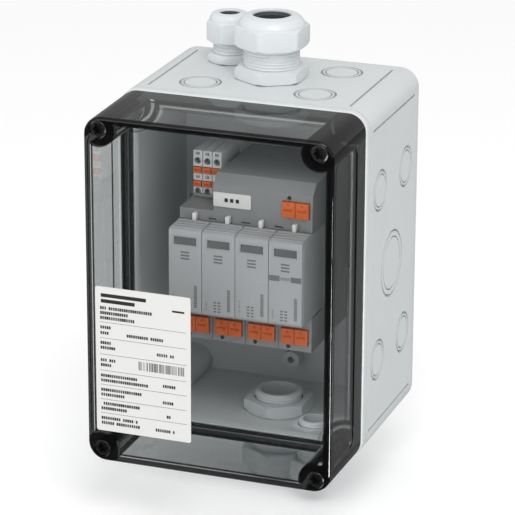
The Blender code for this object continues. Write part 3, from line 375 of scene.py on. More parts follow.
def finishes():
    """Every finish on the object, by a short name, made the first time it is asked for."""
    if FINISHES:
        return FINISHES
    own = bpy.context.scene.combiner_box
    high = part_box("lid_shell")[1]
    # The front shows a dark band as wide as the wall and the rounding of its edge.
    band = own.enclosure.wall + 1.0 * MM
    FINISHES.update({
        # Polycarbonate with a fine eroded grain: soft highlights and no mirror image.
        "enclosure": moulded_plastic("eroded_polycarbonate", own.finish.enclosure, 0.42, 0.45, 0.03),
        "lid": smoke_tinted_polycarbonate(
            own.finish.smoke, high.x - band, high.z - band, tower_place(), own.enclosure.tower_radius),
        # Polyamide out of a polished tool: a satin sheen along its edges.
        "gland": moulded_plastic("satin_polyamide", own.finish.gland, 0.34, 0.6, 0.02, 0.03),
        "protector": moulded_plastic("grey_polyamide", own.finish.protector, 0.5, 0.4, 0.03),
        "plug": moulded_plastic("pale_polyamide", own.finish.plug, 0.46, 0.4, 0.03),
        "terminal": moulded_plastic("terminal_polyamide", own.finish.terminal, 0.44, 0.4, 0.02),
        "lever": moulded_plastic("orange_polyamide", own.finish.lever, 0.38, 0.4, 0.02),
        # Glass-filled nylon: black, with a dull grain from the fibres at its skin.
        "screw": moulded_plastic("glass_filled_nylon", srgb("#161718"), 0.33, 0.3, 0.03, 0.2),
        "pin": moulded_plastic("white_acetal", srgb("#EFEFEC"), 0.35, 0.5, 0.01, 0.03),
        "window": moulded_plastic("window_polycarbonate", srgb("#6E7072"), 0.22, 1.2, 0.01),
        "film": printed_polyester_film("printed_polyester_film", srgb("#DCDCDA")),
        "ink": thermal_transfer_ink("thermal_transfer_ink", own.finish.ink),
        "pale_ink": thermal_transfer_ink("pad_printing_ink", srgb("#6A6C6E")),
        "rubber": nitrile_rubber("nitrile_rubber", srgb("#3A3B3D")),
        "gasket": nitrile_rubber("foamed_polyurethane", srgb("#2A2B2C")),
        "zinc": zinc_plated_steel("zinc_plated_steel"),
    })
    return FINISHES


# ---------------------------------------------------------------- mesh helpers


def evaluated(obj):
    """A plain mesh of the object with its modifiers applied; the object is removed."""
    graph = bpy.context.evaluated_depsgraph_get()
    graph.update()
    mesh = bpy.data.meshes.new_from_object(obj.evaluated_get(graph))
    bpy.data.objects.remove(obj)
    return mesh


def holder(mesh):
    obj = bpy.data.objects.new("work", mesh)
    bpy.context.scene.collection.objects.link(obj)
    return obj


def mesh_of(bm):
    bmesh.ops.recalc_face_normals(bm, faces=bm.faces)
    mesh = bpy.data.meshes.new("work")
    bm.to_mesh(mesh)
    bm.free()
    return mesh


def carve(mesh, operation, *tools):
    """The mesh after a Boolean with each of the tool meshes."""
    for tool in tools:
        obj, other = holder(mesh), holder(tool)
        modifier = obj.modifiers.new("carve", "BOOLEAN")
        modifier.operation = operation
        modifier.object = other
        mesh = evaluated(obj)
        bpy.data.objects.remove(other)
    return mesh


def softened(mesh, width, segments=2, angle=35):
    """The mesh with its sharp edges rounded over."""
    obj = holder(mesh)
    bevel = obj.modifiers.new("soften", "BEVEL")
    bevel.width = width
    bevel.segments = segments
    bevel.limit_method = "ANGLE"
    bevel.angle_limit = math.radians(angle)
    bevel.use_clamp_overlap = True
    return evaluated(obj)


def joined(*parts):
    """One mesh from several, each left as a body of its own."""
    bm = bmesh.new()
    for mesh in parts:
        bm.from_mesh(mesh)
    mesh = bpy.data.meshes.new("work")
    bm.to_mesh(mesh)
    bm.free()
    return mesh


def moved(mesh, matrix):
    copy = mesh.copy()
    copy.transform(matrix)
    if matrix.determinant() < 0:
        copy.flip_normals()
    return copy


def add_box(bm, low, high):
    size = [b - a for a, b in zip(low, high)]
    middle = [(a + b) / 2 for a, b in zip(low, high)]
    bmesh.ops.create_cube(bm, size=1, matrix=Matrix.Translation(middle) @ Matrix.Diagonal((*size, 1)))


def box_mesh(low, high):
    bm = bmesh.new()
    add_box(bm, low, high)
    return mesh_of(bm)


def add_rod(bm, start, end, radius, sides=48, end_radius=None):
    start, end = Vector(start), Vector(end)
    along = end - start
    place = Matrix.Translation((start + end) / 2) @ along.to_track_quat("Z", "Y").to_matrix().to_4x4()
    bmesh.ops.create_cone(
        bm, cap_ends=True, segments=sides, radius1=radius, radius2=end_radius or radius, depth=along.length,
        matrix=place,
    )


def close_rings(bm, rings):
    """Caps two matching rings of vertices and joins them by a wall."""
    for ring in rings:
        bm.faces.new(ring)
    for i in range(len(rings[0])):
        j = (i + 1) % len(rings[0])
        bm.faces.new((rings[0][i], rings[0][j], rings[1][j], rings[1][i]))
    return rings


def add_plate(bm, outline, low_y, high_y):
    """Adds a plate whose outline is in X and Z. Returns the vertices at low_y and at high_y."""
    return close_rings(bm, [[bm.verts.new((x, y, z)) for x, z in outline] for y in (low_y, high_y)])


def plate(outline, low_y, high_y):
    bm = bmesh.new()
    add_plate(bm, outline, low_y, high_y)
    return mesh_of(bm)


def profile_block(outline, low_x, high_x):
    """A block whose outline is in Y and Z."""
    bm = bmesh.new()
    close_rings(bm, [[bm.verts.new((x, y, z)) for y, z in outline] for x in (low_x, high_x)])
    return mesh_of(bm)


def lathe(profile, steps=64):
    """A solid of revolution about Z. The profile is a closed outline of (radius, height), with poles on the axis."""
    bm = bmesh.new()
    rings = []
    for r, z in profile:
        if r < 1e-7:
            rings.append([bm.verts.new((0, 0, z))] * steps)
        else:
            turn = [2 * math.pi * i / steps for i in range(steps)]
            rings.append([bm.verts.new((r * math.cos(a), r * math.sin(a), z)) for a in turn])
    for k in range(len(rings)):
        ring, after = rings[k], rings[(k + 1) % len(rings)]
        if ring[0] is ring[1] and after[0] is after[1]:
            continue
        for i in range(steps):
            j = (i + 1) % steps
            corners = [ring[i], ring[j], after[j], after[i]]
            bm.faces.new([v for n, v in enumerate(corners) if v not in corners[:n]])
    return mesh_of(bm)


def hexagon(low, high, across_flats):
    bm = bmesh.new()
    add_rod(bm, (0, 0, low), (0, 0, high), across_flats / math.sqrt(3), sides=6)
    return mesh_of(bm)


def rounded_outline(half_w, half_h, radius, steps=10):
    points = []
    for sx, sz, start in ((1, 1, 0), (-1, 1, 90), (-1, -1, 180), (1, -1, 270)):
        for i in range(steps + 1):
            a = math.radians(start + 90 * i / steps)
            points.append((
                sx * (half_w - radius) + radius * math.cos(a), sz * (half_h - radius) + radius * math.sin(a)))
    return points


def notched_outline(half_w, half_h, towers, tower_r, steps=16):
    """A rectangle whose corners bend inwards round the screw towers."""
    tower_x, tower_z = towers
    side_z = tower_z - math.sqrt(tower_r**2 - (half_w - tower_x) ** 2)
    top_x = tower_x - math.sqrt(tower_r**2 - (half_h - tower_z) ** 2)
    first = math.atan2(side_z - tower_z, half_w - tower_x)
    last = math.atan2(half_h - tower_z, top_x - tower_x) % (2 * math.pi) - 2 * math.pi
    turn = [first + (last - first) * i / steps for i in range(steps + 1)]
    corner = [(tower_x + tower_r * math.cos(a), tower_z + tower_r * math.sin(a)) for a in turn]
    points = corner + [(-x, z) for x, z in reversed(corner)]
    return points + [(-x, -z) for x, z in corner] + [(x, -z) for x, z in reversed(corner)]


def round_rim(bm, ring, width, segments):
    """Rounds the edges of a plate along one of its rings of vertices."""
    chosen = set(ring)
    edges = [e for e in bm.edges if e.verts[0] in chosen and e.verts[1] in chosen]
    bmesh.ops.bevel(bm, geom=edges, offset=width, segments=segments, profile=0.5, affect="EDGES", clamp_overlap=True)


def middle(node):
    low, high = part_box(node)
    return (low + high) / 2


def body_of_node(node):
    return next(body for body, nodes in frame["record"]["behaviour"]["bodies"].items() if node in nodes)


def add_piece(name, mesh, finish, body, replaces=(), smooth=35):
    """Puts a finished mesh into the scene, in its place, on its body."""
    mesh.name = name
    mesh.materials.clear()
    mesh.materials.append(finishes()[finish])
    for polygon in mesh.polygons:
        polygon.material_index = 0
    mesh.shade_smooth()
    mesh.set_sharp_from_angle(angle=math.radians(smooth))
    obj = bpy.data.objects.new(name, mesh)
    bpy.context.scene.collection.objects.link(obj)
    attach(obj, body)
    if replaces:
        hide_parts(*replaces)
    return obj


def node_mesh(node):
    """A merged copy of a CAD node's mesh, with its flat faces whole again."""
    bm = bmesh.new()
    bm.from_mesh(frame["nodes"][node].data)
    bmesh.ops.remove_doubles(bm, verts=bm.verts, dist=2e-6)
    bmesh.ops.dissolve_limit(bm, angle_limit=math.radians(0.5), verts=bm.verts, edges=bm.edges)
    mesh = bpy.data.meshes.new(node)
    bm.to_mesh(mesh)
    bm.free()
    return mesh


def soften_node(node, finish, width, segments=2):
    """Replaces a CAD node by itself with softened edges."""
    mesh = softened(node_mesh(node), width, segments)
    return add_piece(f"{node}_finished", mesh, finish, body_of_node(node), [node])


# ---------------------------------------------------------------- node trees for what repeats


def start_tree(name, sockets):
    """A geometry node tree with these inputs, and a Geometry output."""
    tree = bpy.data.node_groups.new(name, "GeometryNodeTree")
    tree.interface.new_socket("Geometry", in_out="INPUT", socket_type="NodeSocketGeometry")
    for socket, kind in sockets:
        tree.interface.new_socket(socket, in_out="INPUT", socket_type=f"NodeSocket{kind}")
    tree.interface.new_socket("Geometry", in_out="OUTPUT", socket_type="NodeSocketGeometry")
    return tree, add_node(tree, "NodeGroupInput").outputs


def end_tree(tree, geometry, given):
    real = add_node(tree, "GeometryNodeRealizeInstances", {0: geometry})
    done = add_node(tree, "GeometryNodeSetMaterial", {"Geometry": real.outputs[0], "Material": given["Material"]})
    add_node(tree, "NodeGroupOutput", {0: done.outputs[0]})


def thread_tree():
    """A screw thread: a three-sided section swept along a helix."""
    tree, given = start_tree("thread", [
        ("Radius", "Float"), ("Height", "Float"), ("Turns", "Float"), ("Depth", "Float"), ("Material", "Material")])
    helix = add_node(tree, "GeometryNodeCurveSpiral", {
        "Resolution": 40, "Rotations": given["Turns"], "Start Radius": given["Radius"], "End Radius": given["Radius"],
        "Height": given["Height"]})
    section = add_node(tree, "GeometryNodeCurvePrimitiveCircle", {"Resolution": 4, "Radius": given["Depth"]})
    swept = add_node(tree, "GeometryNodeCurveToMesh", {
        "Curve": helix.outputs[0], "Profile Curve": section.outputs[0], "Fill Caps": True})
    end_tree(tree, swept.outputs[0], given)
    return tree


def ribs_tree():
    """Equal ribs in a row."""
    tree, given = start_tree("grip_ribs", [
        ("Count", "Int"), ("Start", "Vector"), ("Step", "Vector"), ("Size", "Vector"), ("Material", "Material")])
    row = add_node(tree, "GeometryNodeMeshLine", {
        "Count": given["Count"], "Start Location": given["Start"], "Offset": given["Step"]})
    rib = add_node(tree, "GeometryNodeMeshCube", {"Size": given["Size"]})
    placed = add_node(tree, "GeometryNodeInstanceOnPoints", {"Points": row.outputs[0], "Instance": rib.outputs[0]})
    end_tree(tree, placed.outputs[0], given)
    return tree


def print_tree():
    """A row of printed bars of uneven width, with gaps, in place of words. Their lengths come from a fixed seed."""
    tree, given = start_tree("printed_bars", [
        ("Count", "Int"), ("Start", "Vector"), ("Step", "Vector"), ("Size", "Vector"), ("Least", "Float"),
        ("Gaps", "Float"), ("Seed", "Int"), ("Material", "Material")])
    row = add_node(tree, "GeometryNodeMeshLine", {
        "Count": given["Count"], "Start Location": given["Start"], "Offset": given["Step"]})
    kept = add_node(
        tree, "FunctionNodeRandomValue", {"Probability": given["Gaps"], "Seed": given["Seed"]}, data_type="BOOLEAN"
    )
    bar = add_node(tree, "GeometryNodeMeshCube", {"Size": given["Size"]})
    wide = add_node(
        tree, "FunctionNodeRandomValue", {2: given["Least"], 3: 1.0, "Seed": given["Seed"]}, data_type="FLOAT"
    )
    scale = add_node(tree, "ShaderNodeCombineXYZ", {0: wide.outputs[1], 1: 1.0, 2: 1.0})
    placed = add_node(tree, "GeometryNodeInstanceOnPoints", {
        "Points": row.outputs[0], "Selection": kept.outputs[3], "Instance": bar.outputs[0], "Scale": scale.outputs[0]})
    end_tree(tree, placed.outputs[0], given)
    return tree


def grown(tree_maker, **values):
    """The plain mesh that a node tree makes from these inputs."""
    name = tree_maker.__name__
    tree = bpy.data.node_groups.get(TREES.get(name, "")) or tree_maker()
    TREES[name] = tree.name
    obj = holder(bpy.data.meshes.new(name))
    modifier = obj.modifiers.new(name, "NODES")
    modifier.node_group = tree
    for item in tree.interface.items_tree:
        if item.item_type == "SOCKET" and item.in_out == "INPUT" and item.name in values:
            modifier[item.identifier] = values[item.name]
    return evaluated(obj)


TREES = {}


# ---------------------------------------------------------------- enclosure

KNOCKOUT_Y, KNOCKOUT_X, KNOCKOUT_Z = 20.9 * MM, 30.3 * MM, 45 * MM  # from the middle of each side
OUTER_RING, INNER_RING = 1.05, 0.7  # width and depth of a knock-out's two grooves against a score line
SEAM_LINE_Y, SEAM_LINE_WIDTH, SEAM_LINE_DEPTH = 3.8 * MM, 0.5 * MM, 0.35 * MM
RIM_DEPTH = 5.3 * MM
BASE_GROOVE = (4.4 * MM, 7.2 * MM, 3.2 * MM)  # outer edge, inner edge and depth of the gasket's groove
LID_TONGUE = (4.9 * MM, 6.7 * MM, 1.1 * MM)
TOWER_HOLE_R, TOWER_HOLE_DEPTH = 2.6 * MM, 16 * MM
SCREW_SEAT_R, SCREW_SEAT_DEPTH = 4.5 * MM, 8.3 * MM
RAIL_POST_R, RAIL_POST_TOP_R, RAIL_HOLE_R, RAIL_HOLE_DEPTH = 6 * MM, 5.6 * MM, 2.2 * MM, 10 * MM
BOSS_FROM_END, BOSS_R, BOSS_HEIGHT, BOSS_HOLE_R = 17 * MM, 4.7 * MM, 8 * MM, 1.8 * MM
WALL_HOLE_X, WALL_HOLE_Z, WALL_HOLE_R = 19 * MM, 13 * MM, 2.4 * MM
GLAND_HOLE_R = {"large": 12.8 * MM, "small": 8.3 * MM}
SCORE_FROM_CORNER, SCORE_FROM_EDGE = 12 * MM, 9 * MM
GRIP_HALF_WIDTH, GRIP_FROM_END, GRIP_RADIUS, GRIP_DEPTH = 15.6 * MM, 12.4 * MM, 5 * MM, 0.9 * MM


def knockouts(low, high, sizes):
    """(centre, outward direction, radius) of each closed knock-out on the base's four sides."""
    middle_y = low.y / 2
    rows = (middle_y - KNOCKOUT_Y, middle_y + KNOCKOUT_Y)
    along_x, along_z = KNOCKOUT_X, KNOCKOUT_Z
    found = []
    for side, x in ((-1, low.x), (1, high.x)):
        found.append(((x, middle_y, 0), (side, 0, 0), sizes.large_knockout))
        found += [((x, y, z), (side, 0, 0), sizes.small_knockout) for y in rows for z in (-along_z, along_z)]
    for x, y in ((-along_x, rows[0]), (along_x, rows[0]), (along_x, rows[1])):
        found.append(((x, y, high.z), (0, 0, 1), sizes.small_knockout))
    for x, y in ((-along_x, rows[0]), (-along_x, rows[1]), (along_x, rows[1])):
        found.append(((x, y, low.z), (0, 0, -1), sizes.small_knockout))
    return found


def ring_groove(radius, half, depth):
    return lathe([
        (radius + half, depth), (radius - half, depth), (radius - half, -depth), (radius + half, -depth)], 56)


def facing(centre, out):
    return Matrix.Translation(centre) @ Vector(out).to_track_quat("Z", "Y").to_matrix().to_4x4()


def screw_axes():
    return [middle(f"lid_screw_{i}") for i in (1, 2, 3, 4)]


def tower_place():
    axis = middle("lid_screw_2")
    return axis.x, axis.z


def build_base(own):
    """The base: outer skin, cavity, sealing rim, posts, holes, knock-outs and score lines."""
    low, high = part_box("base_shell")
    wall, rim, tower_r = own.wall, own.rim_width, own.tower_radius
    towers = tower_place()
    bm = bmesh.new()
    rings = add_plate(bm, rounded_outline(high.x, high.z, own.corner_radius), low.y, high.y)
    bmesh.ops.recalc_face_normals(bm, faces=bm.faces)
    round_rim(bm, rings[1], own.back_radius, 5)
    round_rim(bm, [v for v in rings[0] if v.is_valid], 0.8 * MM, 3)
    body = mesh_of(bm)

    def inside(from_side, radius):
        return notched_outline(high.x - from_side, high.z - from_side, towers, radius)

    def outside(inset, low_y, high_y):
        return plate(rounded_outline(high.x - inset, high.z - inset, own.corner_radius - inset), low_y, high_y)

    step = low.y + SEAM_LINE_Y
    line = carve(
        outside(-2 * OVER, step, step + SEAM_LINE_WIDTH), "DIFFERENCE",
        outside(SEAM_LINE_DEPTH, step - OVER, step + 2 * OVER))
    body = carve(body, "DIFFERENCE", line)
    mouth = plate(inside(rim, tower_r + rim - wall), low.y - wall, low.y + RIM_DEPTH)
    cavity = plate(inside(wall, tower_r), low.y + RIM_DEPTH - CLEAR, high.y - wall)
    body = carve(body, "DIFFERENCE", mouth, cavity)
    outer, inner, depth = BASE_GROOVE
    groove = carve(
        plate(inside(outer, tower_r + outer - wall), low.y - wall, low.y + depth), "DIFFERENCE",
        plate(inside(inner, tower_r + inner - wall), low.y - 2 * wall, low.y + wall + OVER),
    )
    body = carve(body, "DIFFERENCE", groove)

    posts, cuts = bmesh.new(), bmesh.new()
    rail_low, rail_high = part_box("rail_screw_right")
    screw_x = (rail_low.x + rail_high.x) / 2
    top_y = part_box("din_rail")[1].y + CLEAR
    inner_y = high.y - wall
    boss_z = high.z - BOSS_FROM_END
    for side in (-1, 1):
        x, z = side * screw_x, side * boss_z
        add_rod(posts, (x, high.y - wall / 2, 0), (x, top_y, 0), RAIL_POST_R, end_radius=RAIL_POST_TOP_R)
        add_rod(posts, (0, high.y - wall / 2, z), (0, inner_y - BOSS_HEIGHT, z), BOSS_R)
        add_rod(cuts, (x, top_y - wall, 0), (x, top_y + RAIL_HOLE_DEPTH, 0), RAIL_HOLE_R, 24)
        add_rod(cuts, (0, inner_y - BOSS_HEIGHT - wall, z), (0, inner_y - 2 * OVER, z), BOSS_HOLE_R, 24)
    body = carve(body, "UNION", mesh_of(posts))
    for axis in screw_axes():
        add_rod(
            cuts, (axis.x, low.y - wall, axis.z), (axis.x, low.y + TOWER_HOLE_DEPTH, axis.z), TOWER_HOLE_R, 24)
    depth, half = own.groove_depth, own.score_width / 2
    y0, y1 = low.y + SCORE_FROM_EDGE, high.y - SCORE_FROM_EDGE
    for sx, sz in ((-1, -1), (-1, 1), (1, -1), (1, 1)):
        x, z = sx * (high.x - WALL_HOLE_X), sz * (high.z - WALL_HOLE_Z)
        # The wall holes stop at a thin skin inside.
        add_rod(cuts, (x, -0.8 * wall, z), (x, wall, z), WALL_HOLE_R, 24)
        x, z = sx * (high.x - SCORE_FROM_CORNER), sz * (high.z - SCORE_FROM_CORNER)
        add_box(cuts, (x - half, y0, sz * high.z - depth), (x + half, y1, sz * high.z + depth))
        add_box(cuts, (sx * high.x - depth, y0, z - half), (sx * high.x + depth, y1, z + half))
    for place in GLANDS:
        at = middle(f"gland_{place}_lock_nut")
        way = 1 if at.z > 0 else -1
        radius = GLAND_HOLE_R[place.split("_")[1]]
        add_rod(cuts, (at.x, at.y, way * (high.z - 2 * wall)), (at.x, at.y, way * (high.z + wall)), radius)
    body = carve(body, "DIFFERENCE", mesh_of(cuts))
    for share, width in ((1.0, OUTER_RING), (own.inner_ring, INNER_RING)):
        rings = [
            moved(ring_groove(radius * share, half * width, depth * width), facing(centre, out))
            for centre, out, radius in knockouts(low, high, own)
        ]
        body = carve(body, "DIFFERENCE", joined(*rings))
    add_piece("base_moulding", body, "enclosure", "enclosure", ["base_shell"])
    soften_node("lid_gasket", "gasket", 0.3 * MM)


def build_lid(own):
    """The lid: a drafted skin with a rounded face, screw towers, seats, finger recesses and a sealing tongue."""
    low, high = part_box("lid_shell")
    base_low, base_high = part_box("base_shell")
    wall, rim, tower_r = own.wall, own.rim_width, own.tower_radius
    back = base_low.y - CLEAR
    inset = base_high.x - high.x
    towers = tower_place()
    bm = bmesh.new()
    rings = add_plate(bm, rounded_outline(high.x, high.z, own.corner_radius - inset), low.y, back)
    draft = 0.4 * MM
    for vertex in rings[0]:
        vertex.co.x *= 1 - draft / high.x
        vertex.co.z *= 1 - draft / high.z
    bmesh.ops.recalc_face_normals(bm, faces=bm.faces)
    round_rim(bm, rings[0], own.front_radius, 5)
    body = mesh_of(bm)

    def inside(from_side, radius):
        return notched_outline(base_high.x - from_side, base_high.z - from_side, towers, radius)

    cavity = plate(inside(wall + inset, tower_r), low.y + wall, back - RIM_DEPTH + CLEAR)
    mouth = plate(inside(rim, tower_r + rim - wall), back - RIM_DEPTH, back + wall)
    body = carve(body, "DIFFERENCE", cavity, mouth)
    seats, holes = bmesh.new(), bmesh.new()
    for axis in screw_axes():
        start = (axis.x, low.y - wall, axis.z)
        add_rod(seats, start, (axis.x, low.y + SCREW_SEAT_DEPTH, axis.z), SCREW_SEAT_R)
        add_rod(holes, start, (axis.x, back + wall, axis.z), TOWER_HOLE_R, 24)
    grips = []
    outline = rounded_outline(GRIP_HALF_WIDTH, high.z - GRIP_FROM_END, GRIP_RADIUS, 6)
    turn = Matrix(((0, 1, 0, 0), (1, 0, 0, 0), (0, 0, 1, 0), (0, 0, 0, 1)))
    for side in (-1, 1):
        recess = plate(outline, -GRIP_DEPTH, GRIP_DEPTH)
        at = Matrix.Translation((side * high.x, (low.y + 4 * MM + back - 12 * MM) / 2, 0))
        grips.append(moved(recess, at @ turn))
    body = carve(body, "DIFFERENCE", mesh_of(holes), mesh_of(seats), joined(*grips))
    outer, inner, length = LID_TONGUE
    tongue = carve(
        plate(inside(outer, tower_r + outer - wall), back - wall / 2, back + length), "DIFFERENCE",
        plate(inside(inner, tower_r + inner - wall), back - wall, back + wall),
    )
    body = carve(body, "UNION", tongue)
    add_piece("lid_moulding", body, "lid", "lid", ["lid_shell"], 30)


def hexalobe(radius, depth_y, centre, steps=36):
    """A six-lobed driver recess as a plate along Y."""
    outline = []
    for i in range(steps):
        a = 2 * math.pi * i / steps
        r = radius * (0.84 + 0.16 * math.cos(6 * a))
        outline.append((centre.x + r * math.cos(a), centre.z + r * math.sin(a)))
    return plate(outline, *depth_y)


def build_lid_screws(own):
    """Captive lid screws: a drum head with a chamfer and a six-lobed recess, a neck and a threaded shank."""
    for i, axis in enumerate(screw_axes()):
        node = f"lid_screw_{i + 1}"
        low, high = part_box(node)
        length = high.y - low.y
        head_r, chamfer = 4.1 * MM, 0.5 * MM
        profile = [
            (0, 0), (head_r - chamfer, 0), (head_r, chamfer), (head_r, 7 * MM), (2.2 * MM, 7 * MM),
            (2.2 * MM, length - 1.5 * MM), (1.2 * MM, length), (0, length),
        ]
        to_axis = Matrix.Translation((axis.x, low.y, axis.z)) @ Matrix.Rotation(-math.pi / 2, 4, "X")
        body = moved(lathe(profile, 40), to_axis)
        body = carve(body, "DIFFERENCE", hexalobe(3.1 * MM, (low.y - 1 * MM, low.y + 3.6 * MM), axis))
        thread = grown(thread_tree, Radius=2.15 * MM, Height=11 * MM, Turns=7.0, Depth=0.3 * MM)
        thread = moved(thread, to_axis @ Matrix.Translation((0, 0, length - 13 * MM)))
        add_piece(f"{node}_finished", joined(body, thread), "screw", node, [node])


# ---------------------------------------------------------------- cable glands

GLANDS = ("top_large", "top_small", "bottom_large", "bottom_small")
LARGE = {
    "flats": 33, "flange": 6.6, "thread_r": 14.3, "thread_top": 22, "nut_low": 17, "nut_shoulder": 27.8, "nut_top": 33,
    "rim_r": 11.2, "hole_r": 9.6, "inner_r": 12.5, "bore_r": 9.6, "seat_r": 11.6, "seat_low": 11, "seal_r": 8,
    "seal_top": 31, "lock_flats": 32, "lock_height": 6.4, "tail": 4.2,
}
SMALL = {
    "flats": 20, "flange": 4.8, "thread_r": 8.6, "thread_top": 15, "nut_low": 10.8, "nut_shoulder": 22, "nut_top": 26,
    "rim_r": 6.8, "hole_r": 5.2, "inner_r": 8, "bore_r": 5.5, "seat_r": 6.8, "seat_low": 7.5, "seal_r": 4.2,
    "seal_top": 24.4, "lock_flats": 20, "lock_height": 5, "tail": 2.6,
}


def chamfered_hexagon(low, high, flats, chamfer):
    """A hexagon whose corners are turned off at both ends, as on a nut."""
    corner = flats / math.sqrt(3)
    cone = lathe([
        (0, high), (flats / 2 - chamfer / 3, high), (corner, high - chamfer), (corner, low + chamfer / 2),
        (corner - chamfer, low), (0, low)], 72)
    return carve(hexagon(low, high, flats), "INTERSECT", cone)


def gland_shapes(size, own):
    """The four mouldings of a gland, with z = 0 on the wall's outer face."""
    s = {key: value * MM for key, value in size.items()}
    lock_top = -3.3 * MM
    lock_low = lock_top - s["lock_height"]
    tail = lock_low - s["tail"]
    flange = chamfered_hexagon(0.3 * MM, s["flange"], s["flats"], 1.6 * MM)
    core = s["thread_r"] - own.thread_height
    stem = lathe([
        (0, s["thread_top"]), (core - 0.6 * MM, s["thread_top"]), (core, s["thread_top"] - 0.6 * MM),
        (core, s["flange"] - 2 * MM), (s["inner_r"] - own.thread_height, s["flange"] - 2 * MM),
        (s["inner_r"] - own.thread_height, tail + 0.8 * MM), (s["inner_r"] - 1.2 * MM, tail), (0, tail)], 72)
    bore = lathe([
        (0, s["thread_top"] + 3 * MM), (s["seat_r"], s["thread_top"] + 3 * MM), (s["seat_r"], s["seat_low"]),
        (s["bore_r"], s["seat_low"]), (s["bore_r"], tail - 3 * MM), (0, tail - 3 * MM)], 72)
    body = carve(carve(flange, "UNION", stem), "DIFFERENCE", bore)
    pitch = own.thread_pitch
    outer_run = s["nut_low"] + 1 * MM - s["flange"]
    outer = grown(thread_tree, Radius=core, Height=outer_run, Turns=outer_run / pitch, Depth=own.thread_height)
    outer = moved(outer, Matrix.Translation((0, 0, s["flange"] + 0.2 * MM)))
    inner_run = s["tail"] - 1.2 * MM
    inner_r = s["inner_r"] - own.thread_height
    inner = grown(thread_tree, Radius=inner_r, Height=inner_run, Turns=inner_run / pitch, Depth=own.thread_height * 0.9)
    inner = moved(inner, Matrix.Translation((0, 0, tail + 1 * MM)))
    body = joined(softened(body, 0.25 * MM, 2, 40), outer, inner)

    flats = s["flats"] + 1 * MM
    corner = flats / math.sqrt(3) * 0.985
    round_r = flats / 2 - 0.25 * MM
    dome = [(0, s["nut_top"]), (s["rim_r"] - 0.6 * MM, s["nut_top"])]
    for i in range(11):
        share = i / 10
        bulge = 0.9 * MM * math.sin(math.pi * share)
        dome.append((
            s["rim_r"] + (round_r - s["rim_r"]) * share + bulge * 0.6,
            s["nut_shoulder"] + 0.8 * MM + (s["nut_top"] - 1.05 * MM - s["nut_shoulder"]) * (1 - share) + bulge))
    dome += [
        (round_r, s["nut_shoulder"]), (corner, s["nut_shoulder"] - 1 * MM), (corner, s["nut_low"] + 1.2 * MM),
        (corner - 1.6 * MM, s["nut_low"]), (0, s["nut_low"])]
    nut = carve(hexagon(s["nut_low"], s["nut_top"], flats), "INTERSECT", lathe(dome, 72))
    inside = s["thread_r"] + 0.4 * MM
    room = lathe([
        (0, s["nut_top"] + 3 * MM), (s["hole_r"] + 3 * MM, s["nut_top"] + 3 * MM),
        (s["hole_r"], s["nut_top"] - 0.8 * MM),
        (s["hole_r"], s["seal_top"] + 0.5 * MM), (inside, s["seal_top"] - 3.7 * MM), (inside, s["nut_low"] - 3 * MM),
        (0, s["nut_low"] - 3 * MM)], 72)
    nut = softened(carve(nut, "DIFFERENCE", room), own.edge, 3, 28)

    outer_r = s["seat_r"] - 0.3 * MM
    seal = lathe([
        (s["seal_r"], s["seal_top"] - 0.8 * MM), (s["seal_r"] + 0.8 * MM, s["seal_top"]),
        (s["hole_r"] - 0.5 * MM, s["seal_top"]), (outer_r, s["seal_top"] - 4 * MM),
        (outer_r, s["seat_low"] + 0.3 * MM), (s["seal_r"], s["seat_low"] + 0.3 * MM)], 64)

    lock = chamfered_hexagon(lock_low, lock_top, s["lock_flats"], 1.3 * MM)
    ring_in, ring_out, ring_low = s["inner_r"] + 0.3 * MM, s["lock_flats"] / 2 + 1.2 * MM, lock_top - 1 * MM
    ring = lathe([(ring_in, lock_top), (ring_out, lock_top), (ring_out, ring_low), (ring_in, ring_low)], 64)
    bm = bmesh.new()
    add_rod(bm, (0, 0, lock_low - 3 * MM), (0, 0, 0), s["inner_r"] + 0.25 * MM, 72)
    lock = softened(carve(carve(lock, "UNION", ring), "DIFFERENCE", mesh_of(bm)), 0.3 * MM, 2, 40)
    return {"body": body, "dome_nut": nut, "seal": seal, "lock_nut": lock}


def build_glands(own):
    """Cable glands: hexagon body and thread, dome nut, rubber seal and lock nut."""
    shapes = {"large": gland_shapes(LARGE, own), "small": gland_shapes(SMALL, own)}
    wall_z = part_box("base_shell")[1].z
    for place in GLANDS:
        at = middle(f"gland_{place}_lock_nut")
        way = 1 if at.z > 0 else -1
        put = Matrix.Translation((at.x, at.y, way * wall_z))
        if way < 0:
            put = put @ Matrix.Rotation(math.pi, 4, "X")
        for part, mesh in shapes[place.split("_")[1]].items():
            node = f"gland_{place}_{part}"
            finish = "rubber" if part == "seal" else "gland"
            add_piece(f"{node}_finished", moved(mesh, put), finish, body_of_node(node), [node])


# ---------------------------------------------------------------- protector and terminals

HOUSING_BEVEL, BAY_DEPTH = 5.5 * MM, 19 * MM
BLADE_LENGTH, BLADE_Z = 7 * MM, (-12 * MM, 12 * MM)
TEST_HOLE_R = 1.1 * MM
ENTRY_R, ENTRY_DEPTH, ENTRY_Z = 1.75 * MM, 8 * MM, (48.2 * MM, 31.95 * MM)


def ink_bars(at, count, step, size, least, gaps, seed):
    """A row of printed bars. at, step and size are in millimetres."""
    return grown(
        print_tree, Count=count, Start=Vector(at) * MM, Step=Vector(step) * MM, Size=Vector(size) * MM,
        Least=least, Gaps=gaps, Seed=seed,
    )


def ink_block(x0, z0, x1, z1, y):
    """One printed block, in millimetres."""
    return box_mesh(Vector((x0, y, z0)) * MM, Vector((x1, y + PRINT_THICK, z1)) * MM)


